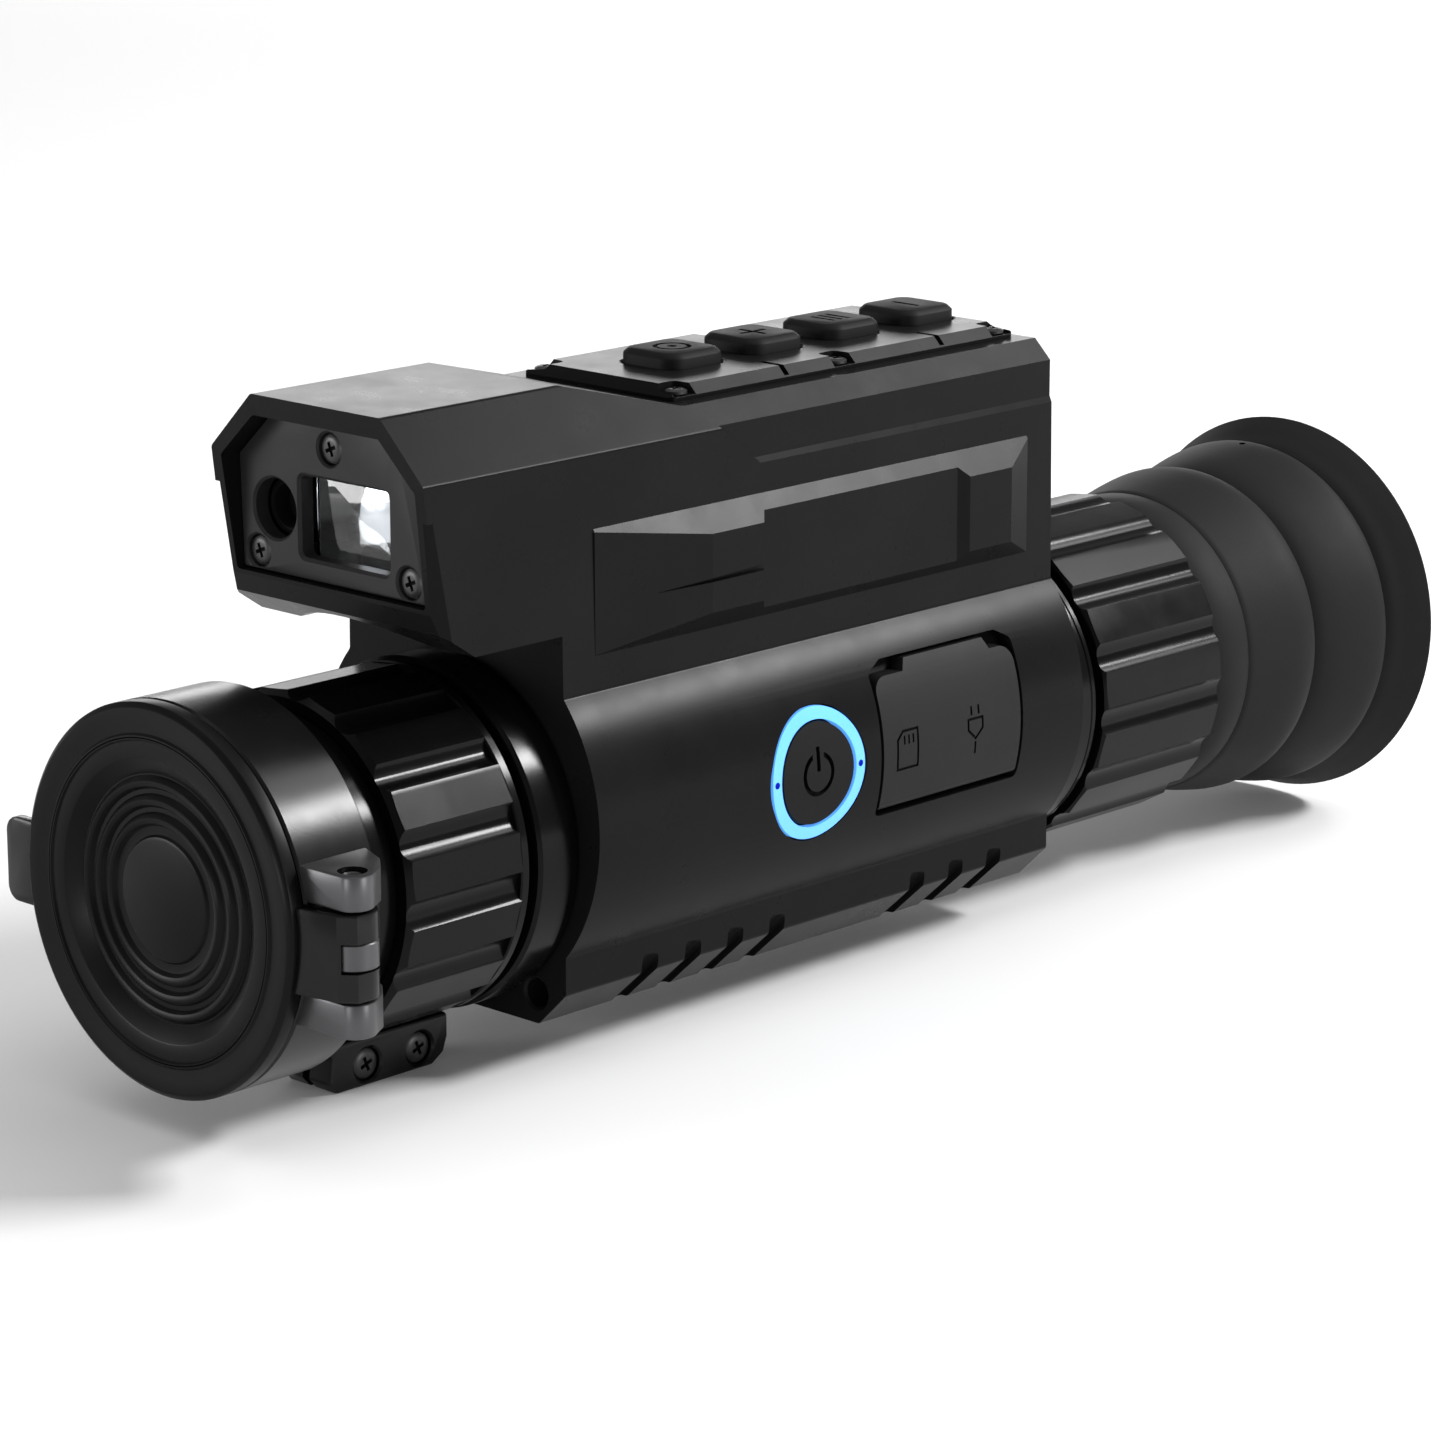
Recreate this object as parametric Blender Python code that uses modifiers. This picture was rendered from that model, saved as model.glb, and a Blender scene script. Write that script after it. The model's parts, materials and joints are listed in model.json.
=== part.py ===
"""Thermal imaging scope with a laser rangefinder hood, a flip-up objective cap and a rubber eyecup.

Frame: +Z up, the optical axis runs along Y, the objective looks along -Y and the eyepiece along +Y.
The origin is the centre of the flat underside of the base. The power button is on the +X side.
Sizes below are millimetres; MM turns them into metres.
"""
import math

import bmesh
import bpy
from mathutils import Matrix, Vector

MM = 0.001
GAP = 0.3                      # running and seating clearance between neighbouring pieces
MERGE = 0.00005                # merge distance of turned pieces, metres
OUTLINE_MERGE = 0.00001        # merge distance of extruded outlines, metres
SHARP_ANGLE = 32               # edges sharper than this many degrees stay crisp
REACH = 40                     # half length of a cutter that passes through everything

# Driving dimensions of the housing
AXIS_Z = 26.0                  # optical axis above the base
BODY_FRONT = -51.5
BODY_REAR = 51.5
HOOD_FRONT = -76.4
BASE_HALF = 16.2               # half width of the flat underside
SIDE_HALF = 21.6               # half width of the side walls
BASE_CHAMFER_TOP = 5.2
BULGE_Z = 29.0                 # centre of the round flanks
BULGE_R = 28.4
SHOULDER_HALF = 21.2
SHOULDER_Z = 80.4
HOOD_HALF = 12.9
HOOD_TOP = 88.6
DECK_Z = 83.7
DECK_HALF = 17.8
RAMP_FRONT = -43.7
RAMP_REAR = -24.2
WALL_R = 24.5                  # inside radius of the lower chamber
UPPER_HALF = 17.6              # half width of the upper chamber
UPPER_TOP = 79.0
COVER_DEPTH = 3.1              # depth of the rear cover's seat
FRONT_WALL = 4.0
COVER_INSET = 2.0              # how far the rear cover's seat stays inside the outline
HOOD_UNDER_Z = 56.2            # underside of the shoulder's overhang
HOOD_LIP_Z = 63.2
HOOD_RAKE_Z = 81.0
ARCH_R = 33.0                  # relief round the objective
FRONT_BORE_R = 21.8
SLOT_ROWS = ((-36.0, 4), (20.6, 3))    # first station and count of the slots in the base edge
SLOT_PITCH = 8.7
SLOT_SIZE = (6.4, 3.0, 11.0)
SLOT_PLACE = (20.9, 2.3)
SLOT_TILT = 44
BASE_HOLES = (9.0, 30.0)       # half spacings of the four holes in the underside
BASE_HOLE_R = 1.7
BASE_HOLE_DEPTH = 4.0
FRONT_HOLE = (15.6, 4.3)
FRONT_HOLE_R = 2.1

# Small cross-head screws: hole, head seat, head, shank
HOLE_R = 1.2
SEAT_R = 2.3
HEAD_R = 2.0
HEAD_H = 0.75
SHANK_R = 0.95
CROSS_HALF = 0.22
CROSS_DEPTH = 0.6
REAR_SCREWS = ((-15.4, 76.0), (15.4, 76.0), (-16.0, 50.5), (16.0, 50.5))

# Rangefinder front
PLATE_FRONT = -73.3
PLATE_BACK = -70.8
PLATE_TOP = 85.4
PLATE_SHOULDER = 79.2
PLATE_FLOOR = 63.5
EMITTER_X = -12.0
EMITTER_Z = 72.4
EMITTER_R = 4.2
RECEIVER_X = 2.0
RECEIVER_Z = 72.1
WINDOW = (-6.9, 10.8, 66.4, 77.8)
PLATE_SCREWS = {"top": (-0.7, 82.1), "left": (-15.5, 66.0), "right": (14.7, 66.0)}

# Keypad
PANEL_FRONT = -23.2
PANEL_REAR = 50.0
PANEL_HALF = 14.9
PANEL_TOP_Z = 85.7
PANEL_SLOPE = 1.6
BUTTON_NAMES = ("range", "plus", "menu", "minus")
BUTTON_FIRST_Y = -8.0
BUTTON_PITCH = 16.8
BUTTON_SIZE = 11.6
BUTTON_CORNER = 2.8
KEY_GAP = 0.35                 # gap round a key in its opening
BUTTON_TOP_Z = 87.9
BUTTON_TRAVEL = 1.0
STEM_R = 2.6
STEM_FOOT_Z = 78.4
PANEL_SCREW_X = 13.0
PANEL_SCREW_Y = (-20.6, 12.6, 47.4)
NOTCH_HALF = 2.5
FOOT_H = 0.55                  # thickness left under a panel screw
KEY_EDGE = 0.55
KEY_SEAT = 0.25                # a pressed key stops this far above the deck

# Power button and ports on the +X flank
POWER_Y = -7.3
POWER_Z = 29.5
LED_OUTER = 9.65
LED_INNER = 7.85
POWER_R = 7.5
POWER_FLOOR_X = 25.7
PORT_Y = (6.2, 37.2)
PORT_TOP = 42.6
PORT_PIN_X = 26.35
PORT_PIN_Z = 22.2
PORT_SKIN = 2.1                # thickness of the port cover
PORT_KNUCKLE_R = 1.2

# Objective
BARREL_FRONT = -98.0
BARREL_R = 22.0
BARREL_BORE = 19.0
COLLAR_FRONT = -59.4
COLLAR_R = 25.0
FOCUS_FRONT = -83.0
FOCUS_REAR = -61.0
FOCUS_R = 24.7
FLUTES = 16

# Flip cap
CAP_R = 27.0
CAP_FRONT = -103.2
CAP_REAR = -90.0
LID_FRONT = -106.2
LID_BACK = -103.5
HINGE_X = 32.0
HINGE_Y = -99.8
HINGE_MID_Z = 24.6
HINGE_PIN_R = 1.7
KNUCKLE_R = 3.3
KNUCKLE_HALF = 5.9             # half height of the lid's knuckle
LUG_HEIGHT = 4.7
BUSH_HALF = 2.0
EAR_X = 5.0
EAR_GAP = 0.7
EAR_FRONT = -80.5
EAR_REAR = -58.4
EAR_BOTTOM = -6.2
CLAMP_SCREW_Y = (-73.5, -63.8)
CLAMP_SCREW_Z = -3.2

# Eyepiece
TUBE_R = 20.3
TUBE_BORE = 17.5
TUBE_REAR = 100.0
RING_FRONT = 52.0
RING_REAR = 60.2
RING_R = 24.2
DIOPTER_FRONT = 60.8
DIOPTER_REAR = 89.3
DIOPTER_R = 25.5
CUP_FRONT = 90.0
CUP_REAR = 137.2
CUP_RIM_R = 31.2

PALETTE = {
    "anodised": ((0.022, 0.021, 0.022), 0.42, 0.9),
    "cap_metal": ((0.060, 0.058, 0.062), 0.34, 0.9),
    "steel": ((0.30, 0.30, 0.31), 0.35, 1.0),
    "dark_steel": ((0.05, 0.05, 0.052), 0.35, 1.0),
    "rubber": ((0.045, 0.044, 0.047), 0.75, 0.0),
    "key_rubber": ((0.035, 0.035, 0.036), 0.65, 0.0),
    "led": ((0.12, 0.40, 0.95), 0.3, 0.0),
    "glass": ((0.35, 0.38, 0.42), 0.05, 0.0),
    "germanium": ((0.22, 0.16, 0.12), 0.12, 0.8),
    "board": ((0.02, 0.13, 0.06), 0.5, 0.0),
    "cell": ((0.05, 0.16, 0.42), 0.4, 0.0),
    "black_plastic": ((0.02, 0.02, 0.02), 0.5, 0.0),
}

for old in list(bpy.data.objects):
    bpy.data.objects.remove(old, do_unlink=True)

scope = bpy.data.collections.new("thermal_scope")
cutters = bpy.data.collections.new("cutters")
bpy.context.scene.collection.children.link(scope)
bpy.context.scene.collection.children.link(cutters)
cutters.hide_render = True


# ---------------------------------------------------------------- helpers
def finish(name):
    """A Principled material of the palette, made once."""
    if name in bpy.data.materials:
        return bpy.data.materials[name]
    colour, rough, metal = PALETTE[name]
    mat = bpy.data.materials.new(name)
    mat.use_nodes = True
    shader = mat.node_tree.nodes["Principled BSDF"]
    shader.inputs["Base Color"].default_value = (*colour, 1.0)
    shader.inputs["Roughness"].default_value = rough
    shader.inputs["Metallic"].default_value = metal
    return mat


def link(obj, slot):
    """Put an object in the scope with its material, or among the cutters when slot is None."""
    if slot is None:
        cutters.objects.link(obj)
        obj.hide_render = True
        obj.display_type = 'WIRE'
    else:
        scope.objects.link(obj)
        obj.data.materials.clear()
        obj.data.materials.append(finish(slot))
    return obj


def smooth(mesh, angle=SHARP_ANGLE):
    mesh.shade_smooth()
    mesh.set_sharp_from_angle(angle=math.radians(angle))


def box(name, slot, x, y, z):
    """A box between the given limits, each a pair."""
    mesh = bpy.data.meshes.new(name)
    bm = bmesh.new()
    bmesh.ops.create_cube(bm, size=1.0)
    size = Vector((x[1] - x[0], y[1] - y[0], z[1] - z[0])) * MM
    bmesh.ops.scale(bm, vec=size, verts=bm.verts)
    bm.to_mesh(mesh)
    bm.free()
    obj = bpy.data.objects.new(name, mesh)
    obj.location = Vector(((x[0] + x[1]) / 2, (y[0] + y[1]) / 2, (z[0] + z[1]) / 2)) * MM
    return link(obj, slot)


AXES = {
    "X": Matrix(((0, 0, 1, 0), (1, 0, 0, 0), (0, 1, 0, 0), (0, 0, 0, 1))),
    "Y": Matrix(((1, 0, 0, 0), (0, 0, -1, 0), (0, 1, 0, 0), (0, 0, 0, 1))),
    "Z": Matrix.Identity(4),
}


def prism(name, slot, points, axis, lo, hi):
    """An outline extruded along an axis: points are (y, z) for X, (x, z) for Y and (x, y) for Z."""
    curve = bpy.data.curves.new(name, 'CURVE')
    curve.dimensions = '2D'
    curve.fill_mode = 'BOTH'
    curve.extrude = (hi - lo) / 2 * MM
    spline = curve.splines.new('POLY')
    spline.points.add(len(points) - 1)
    for knot, (u, v) in zip(spline.points, points):
        knot.co = (u * MM, v * MM, 0.0, 1.0)
    spline.use_cyclic_u = True
    flat = bpy.data.objects.new(name + "_outline", curve)
    middle = (lo + hi) / 2 * MM
    shift = {"X": (middle, 0, 0), "Y": (0, middle, 0), "Z": (0, 0, middle)}[axis]
    flat.matrix_world = Matrix.Translation(shift) @ AXES[axis]
    bpy.context.scene.collection.objects.link(flat)
    bpy.context.view_layer.update()
    graph = bpy.context.evaluated_depsgraph_get()
    mesh = bpy.data.meshes.new_from_object(flat.evaluated_get(graph))
    mesh.name = name
    bm = bmesh.new()
    bm.from_mesh(mesh)
    bmesh.ops.remove_doubles(bm, verts=bm.verts, dist=OUTLINE_MERGE)
    bmesh.ops.recalc_face_normals(bm, faces=bm.faces)
    bm.to_mesh(mesh)
    bm.free()
    obj = bpy.data.objects.new(name, mesh)
    obj.matrix_world = flat.matrix_world.copy()
    bpy.data.objects.remove(flat, do_unlink=True)
    bpy.data.curves.remove(curve)
    smooth(mesh)
    return link(obj, slot)


def turned(name, slot, profile, centre=(0.0, 0.0, AXIS_Z), axis="Y", steps=28):
    """A turned piece. profile holds (place along the axis, radius); a ring when no radius is 0."""
    points = list(profile)
    area = 0.0
    for (a0, r0), (a1, r1) in zip(points, points[1:] + points[:1]):
        area += r0 * a1 - r1 * a0
    if area > 0:
        points.reverse()
    solid = any(r == 0 for _, r in points)
    if solid:
        while points[0][1] != 0 or points[-1][1] != 0:
            points = points[1:] + points[:1]
    mesh = bpy.data.meshes.new(name)
    verts = [(r * MM, 0.0, a * MM) for a, r in points]
    edges = [(i, i + 1) for i in range(len(verts) - 1)]
    if not solid:
        edges.append((len(verts) - 1, 0))
    mesh.from_pydata(verts, edges, [])
    obj = bpy.data.objects.new(name, mesh)
    turn = {
        "X": Matrix.Rotation(math.radians(90), 4, 'Y'),
        "Y": Matrix.Rotation(math.radians(-90), 4, 'X'),
        "Z": Matrix.Identity(4),
    }[axis]
    obj.matrix_world = Matrix.Translation(Vector(centre) * MM) @ turn
    screw = obj.modifiers.new("Turn", 'SCREW')
    screw.angle = math.radians(360)
    screw.steps = steps
    screw.render_steps = steps
    screw.axis = 'Z'
    screw.use_merge_vertices = True
    screw.merge_threshold = MERGE
    screw.use_smooth_shade = True
    return link(obj, slot)


def rod(name, slot, centre, axis, lo, hi, radius, steps=16):
    """A plain cylinder along an axis through centre, between lo and hi along that axis."""
    place = list(centre)
    place["XYZ".index(axis)] = 0.0
    return turned(name, slot, [(hi, 0), (hi, radius), (lo, radius), (lo, 0)], place, axis, steps)


def merge(name, slot, pieces):
    """Disjoint pieces as one object."""
    bm = bmesh.new()
    for piece in pieces:
        bpy.context.view_layer.update()
        graph = bpy.context.evaluated_depsgraph_get()
        mesh = bpy.data.meshes.new_from_object(piece.evaluated_get(graph))
        mesh.transform(piece.matrix_world)
        bm.from_mesh(mesh)
        bpy.data.objects.remove(piece, do_unlink=True)
    mesh = bpy.data.meshes.new(name)
    bm.to_mesh(mesh)
    bm.free()
    obj = bpy.data.objects.new(name, mesh)
    return link(obj, slot)


def boolean(obj, other, operation='DIFFERENCE'):
    mod = obj.modifiers.new(operation.title(), 'BOOLEAN')
    mod.operation = operation
    mod.solver = 'EXACT'
    mod.object = other
    return obj


def round_edges(obj, width, segments=1, angle=40):
    mod = obj.modifiers.new("Edges", 'BEVEL')
    mod.width = width * MM
    mod.segments = segments
    mod.limit_method = 'ANGLE'
    mod.angle_limit = math.radians(angle)
    return obj


def arc(cx, cy, radius, start, end, count):
    """Points on an arc, angles in degrees."""
    out = []
    for i in range(count + 1):
        t = math.radians(start + (end - start) * i / count)
        out.append((cx + radius * math.cos(t), cy + radius * math.sin(t)))
    return out


def mirrored(half):
    """A closed outline from its +X half, listed from bottom to top."""
    return half + [(-x, z) for x, z in reversed(half)]


def rounded_rect(x0, x1, y0, y1, radius, count=4):
    return (arc(x1 - radius, y1 - radius, radius, 0, 90, count)
            + arc(x0 + radius, y1 - radius, radius, 90, 180, count)
            + arc(x0 + radius, y0 + radius, radius, 180, 270, count)
            + arc(x1 - radius, y0 + radius, radius, 270, 360, count))


def flank_arc(inset, count=10):
    """The round flank between the two side walls, shrunk by inset."""
    radius = BULGE_R - inset
    angle = math.degrees(math.acos((SIDE_HALF - inset) / radius))
    return arc(0, BULGE_Z, radius, -angle, angle, count)


def bulge(name, radius, lo, hi, steps=56):
    """A cylinder on the flank's centre, for pieces that follow the flank."""
    return rod(name, None, (0, 0, BULGE_Z), "Y", lo, hi, radius, steps)


# ---------------------------------------------------------------- housing
def housing_half(inset):
    lower = [(BASE_HALF - inset / 2, inset), (SIDE_HALF - inset, BASE_CHAMFER_TOP + inset / 2)]
    return lower + flank_arc(inset) + [(SHOULDER_HALF - inset, SHOULDER_Z - inset / 2)]


def hood_front_cutter():
    """Takes away what lies in front of the body below the hood, and rakes the hood's rim."""
    far = HOOD_FRONT - 20
    outline = [
        (far, -5), (BODY_FRONT, -5), (BODY_FRONT, HOOD_UNDER_Z), (-66.8, HOOD_UNDER_Z), (-71.4, 60.0),
        (PLATE_FRONT, HOOD_LIP_Z), (HOOD_FRONT, HOOD_RAKE_Z), (HOOD_FRONT, 95.0), (far, 95.0),
    ]
    return prism("cut_hood_front", None, outline, "X", -REACH, REACH)


def deck_cutter():
    slope = (HOOD_TOP - DECK_Z) / (RAMP_REAR - RAMP_FRONT)
    start = RAMP_FRONT - 4
    outline = [(start, HOOD_TOP + 4 * slope), (RAMP_REAR, DECK_Z), (60, DECK_Z), (60, 95), (start, 95)]
    return prism("cut_deck", None, outline, "X", -REACH, REACH)


def plate_outline(grow):
    half = [
        (18.6 + grow, PLATE_FLOOR - grow), (19.1 + grow, PLATE_SHOULDER + grow / 2),
        (12.4 + grow / 2, PLATE_TOP + grow),
    ]
    return mirrored(half)


def base_slots():
    """Seven slots across each bottom corner."""
    limits = [(-size / 2, size / 2) for size in SLOT_SIZE]
    x, z = SLOT_PLACE
    pieces = []
    for side in (-1, 1):
        for start, count in SLOT_ROWS:
            for i in range(count):
                slot = box("slot", None, *limits)
                slot.location = Vector((side * x, start + i * SLOT_PITCH, z)) * MM
                slot.rotation_euler = (0, side * math.radians(SLOT_TILT), 0)
                pieces.append(slot)
    return merge("cut_base_slots", None, pieces)


def cover_outline(inset):
    return mirrored(housing_half(inset) + [(DECK_HALF - 1.0 - inset, DECK_Z - inset)])


def make_housing():
    body = prism("main_housing", "anodised", mirrored(housing_half(0) + [(HOOD_HALF, HOOD_TOP)]),
                 "Y", HOOD_FRONT, BODY_REAR)
    boolean(body, hood_front_cutter())
    boolean(body, rod("cut_arch", None, (0, 0, AXIS_Z), "Y", HOOD_FRONT - 5, BODY_FRONT, ARCH_R, 48))
    boolean(body, deck_cutter())
    boolean(body, rod("cut_chamber", None, (0, 0, BULGE_Z), "Y", BODY_FRONT + FRONT_WALL,
                      BODY_REAR - COVER_DEPTH + 1, WALL_R, 36))
    boolean(body, box("cut_upper", None, (-UPPER_HALF, UPPER_HALF),
                      (BODY_FRONT + FRONT_WALL, BODY_REAR - COVER_DEPTH + 1), (40, UPPER_TOP)))
    boolean(body, prism("cut_plate_seat", None, plate_outline(GAP), "Y", HOOD_FRONT - 4,
                        PLATE_BACK + GAP))
    boolean(body, box("cut_hood", None, (-16.9, 16.9), (PLATE_BACK - 1, -40), (67.9, 78.6)))
    boolean(body, box("cut_hood_low", None, (-7.0, 11.8), (PLATE_BACK - 1, -56), (64.3, 80.3)))
    boolean(body, prism("cut_cover_seat", None, cover_outline(COVER_INSET), "Y",
                        BODY_REAR - COVER_DEPTH, BODY_REAR + 2))
    boolean(body, rod("cut_front_bore", None, (0, 0, AXIS_Z), "Y", BODY_FRONT - 2,
                      BODY_FRONT + FRONT_WALL + 1, FRONT_BORE_R, 36))
    boolean(body, base_slots())
    boolean(body, make_hole_cutters())
    boolean(body, power_pocket())
    boolean(body, port_pocket())
    boolean(body, port_openings())
    return body


def make_hole_cutters():
    """Every small round hole of the housing, as one cutter."""
    holes = []
    base_x, base_y = BASE_HOLES
    front_x, front_z = FRONT_HOLE
    for sign in (-1, 1):
        holes.append(rod("hole", None, (sign * front_x, 0, front_z), "Y", BODY_FRONT - 2, BODY_FRONT + 6,
                         FRONT_HOLE_R, 12))
        for y in (-base_y, base_y):
            holes.append(rod("hole", None, (sign * base_x, y, 0), "Z", -2, BASE_HOLE_DEPTH, BASE_HOLE_R, 10))
    for x, z in PLATE_SCREWS.values():
        holes.append(rod("hole", None, (x, 0, z), "Y", PLATE_BACK - 1, PLATE_BACK + 5.5, HOLE_R, 8))
    for x in (-PANEL_SCREW_X, PANEL_SCREW_X):
        for y in PANEL_SCREW_Y:
            holes.append(rod("hole", None, (x, y, 0), "Z", DECK_Z - 2.6, DECK_Z + 2, 1.0, 8))
    for i in range(len(BUTTON_NAMES)):
        y = BUTTON_FIRST_Y + i * BUTTON_PITCH
        holes.append(rod("hole", None, (0, y, 0), "Z", UPPER_TOP - 2, DECK_Z + 2, STEM_R + 0.5, 12))
    return merge("cut_holes", None, holes)


def power_pocket():
    seat = rod("seat", None, (0, POWER_Y, POWER_Z), "X", POWER_FLOOR_X, 32, LED_OUTER + GAP, 36)
    bore = rod("cut_power_bore", None, (0, POWER_Y, POWER_Z), "X", 18, POWER_FLOOR_X + 1, 4.2, 16)
    boolean(seat, bore, 'UNION')
    return seat


def port_outline(grow, bottom):
    """The port cover's outline (y, z): a plate with rounded corners and a finger tab on top."""
    y0, y1 = PORT_Y[0] - grow, PORT_Y[1] + grow
    top = PORT_TOP + grow
    shelf = top - 1.7
    return ([(y0, bottom), (y1, bottom)] + arc(y1 - 2.5, shelf - 2.5, 2.5, 0, 90, 4)
            + [(y1 - 4.6, shelf), (y1 - 5.4, top), (y0 + 7.6, top), (y0 + 6.6, shelf)]
            + arc(y0 + 2.5, shelf - 2.5, 2.5, 90, 180, 4))


def port_pocket():
    outline = [(PORT_Y[0] - GAP, PORT_PIN_Z - 1.6), (PORT_Y[1] + GAP, PORT_PIN_Z - 1.6),
               (PORT_Y[1] + GAP, PORT_TOP - 2.2), (PORT_Y[1] - 1.6, PORT_TOP + GAP),
               (PORT_Y[0] + 2.0, PORT_TOP + GAP), (PORT_Y[0] - GAP, PORT_TOP - 2.2)]
    pocket = prism("cut_port", None, outline, "X", 18, 34)
    boolean(pocket, bulge("core_port", BULGE_R - PORT_SKIN - GAP, 0, 44))
    return pocket


def port_openings():
    socket = box("opening", None, (18, 30), (25.0, 34.6), (28.6, 32.6))
    slot = box("opening", None, (18, 30), (10.6, 13.6), (24.4, 37.2))
    pin = rod("opening", None, (PORT_PIN_X, 0, PORT_PIN_Z), "Y", PORT_Y[0] - 1.8, PORT_Y[1] + 1.8, 0.75, 8)
    return merge("cut_port_openings", None, [socket, slot, pin])


def make_rear_cover():
    cover = prism("rear_cover", "anodised", cover_outline(COVER_INSET + GAP), "Y",
                  BODY_REAR - COVER_DEPTH + GAP, BODY_REAR)
    boolean(cover, rod("cut_cover_bore", None, (0, 0, AXIS_Z), "Y", 40, 60, TUBE_R + GAP, 36))
    holes = []
    heads = []
    for x, z in REAR_SCREWS:
        holes.append(rod("hole", None, (x, 0, z), "Y", 40, 60, HOLE_R, 8))
        heads.append(rod("head", None, (x, 0, z), "Y", BODY_REAR - 1.3, 60, SEAT_R, 12))
    boolean(cover, merge("cut_cover_holes", None, holes))
    boolean(cover, merge("cut_cover_heads", None, heads))
    return cover


# ---------------------------------------------------------------- fasteners
def screw(name, place, axis, head_at, direction, head_r, head_h, shank_r, length, slot="dark_steel"):
    """A cross-head screw. head_at is the head's outer face and direction points out of the hole."""
    under = head_at - head_h * direction
    tip = head_at - length * direction
    profile = [(head_at, 0), (head_at, head_r), (under, head_r), (under, shank_r), (tip, shank_r), (tip, 0)]
    centre = list(place)
    centre["XYZ".index(axis)] = 0.0
    obj = turned(name, slot, profile, centre, axis, 8)
    arm = head_r * 0.55
    bars = []
    for swap in (False, True):
        long, short = (CROSS_HALF, arm) if swap else (arm, CROSS_HALF)
        limits = {"X": [None, long, short], "Y": [long, None, short], "Z": [long, short, None]}[axis]
        spans = []
        for i, half in enumerate(limits):
            if half is None:
                ends = (head_at + 0.5 * direction, head_at - CROSS_DEPTH * direction)
                spans.append((min(ends), max(ends)))
            else:
                spans.append((place[i] - half, place[i] + half))
        bars.append(box("cut_" + name, None, *spans))
    boolean(bars[0], bars[1], 'UNION')
    boolean(obj, bars[0])
    return obj


# ---------------------------------------------------------------- rangefinder
def make_rangefinder():
    plate = prism("rangefinder_plate", "anodised", plate_outline(0), "Y", PLATE_FRONT, PLATE_BACK)
    x0, x1, z0, z1 = WINDOW
    boolean(plate, prism("cut_window", None, rounded_rect(x0, x1, z0, z1, 0.8), "Y", -80, -60))
    boolean(plate, rod("cut_emitter", None, (EMITTER_X, 0, EMITTER_Z), "Y", -80, -60, EMITTER_R, 24))
    holes = []
    heads = []
    for x, z in PLATE_SCREWS.values():
        holes.append(rod("hole", None, (x, 0, z), "Y", -80, -60, HOLE_R, 8))
        heads.append(rod("head", None, (x, 0, z), "Y", -80, PLATE_FRONT + 1.3, SEAT_R, 12))
    boolean(plate, merge("cut_plate_holes", None, holes))
    boolean(plate, merge("cut_plate_heads", None, heads))
    for name, (x, z) in PLATE_SCREWS.items():
        screw("plate_screw_" + name, (x, 0, z), "Y", PLATE_FRONT + 0.35, -1, HEAD_R, HEAD_H, SHANK_R, 6.2)
    back = PLATE_BACK + GAP
    turned("laser_emitter", "dark_steel",
           [(-55.0, 0), (-55.0, 3.9), (back, 3.9), (back, 3.0), (back + 3, 3.0), (back + 3.4, 0)],
           (EMITTER_X, 0, EMITTER_Z), "Y", 20)
    window = prism("receiver_window", "glass", rounded_rect(x0 + 0.3, x1 + 0.6, z0 - 1.2, z1 + 1.2, 0.6),
                   "Y", back, back + 1.2)
    round_edges(window, 0.15)
    lens = [(-68.2, 0), (-67.8, 3.2), (-67.0, 6.0), (-66.2, 7.4), (-62.6, 7.4), (-62.6, 0)]
    turned("receiver_lens", "glass", lens, (RECEIVER_X, 0, RECEIVER_Z), "Y", 24)
    box("rangefinder_board", "board", (-15.5, 15.5), (-54.6, -53.4), (68.6, 78.0))


# ---------------------------------------------------------------- keypad
def panel_notch(y, cutter_x):
    """Clears the panel round a screw, down to a thin foot."""
    return box("notch", None, cutter_x, (y - NOTCH_HALF, y + NOTCH_HALF), (DECK_Z + FOOT_H, PANEL_TOP_Z + 2))


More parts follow.
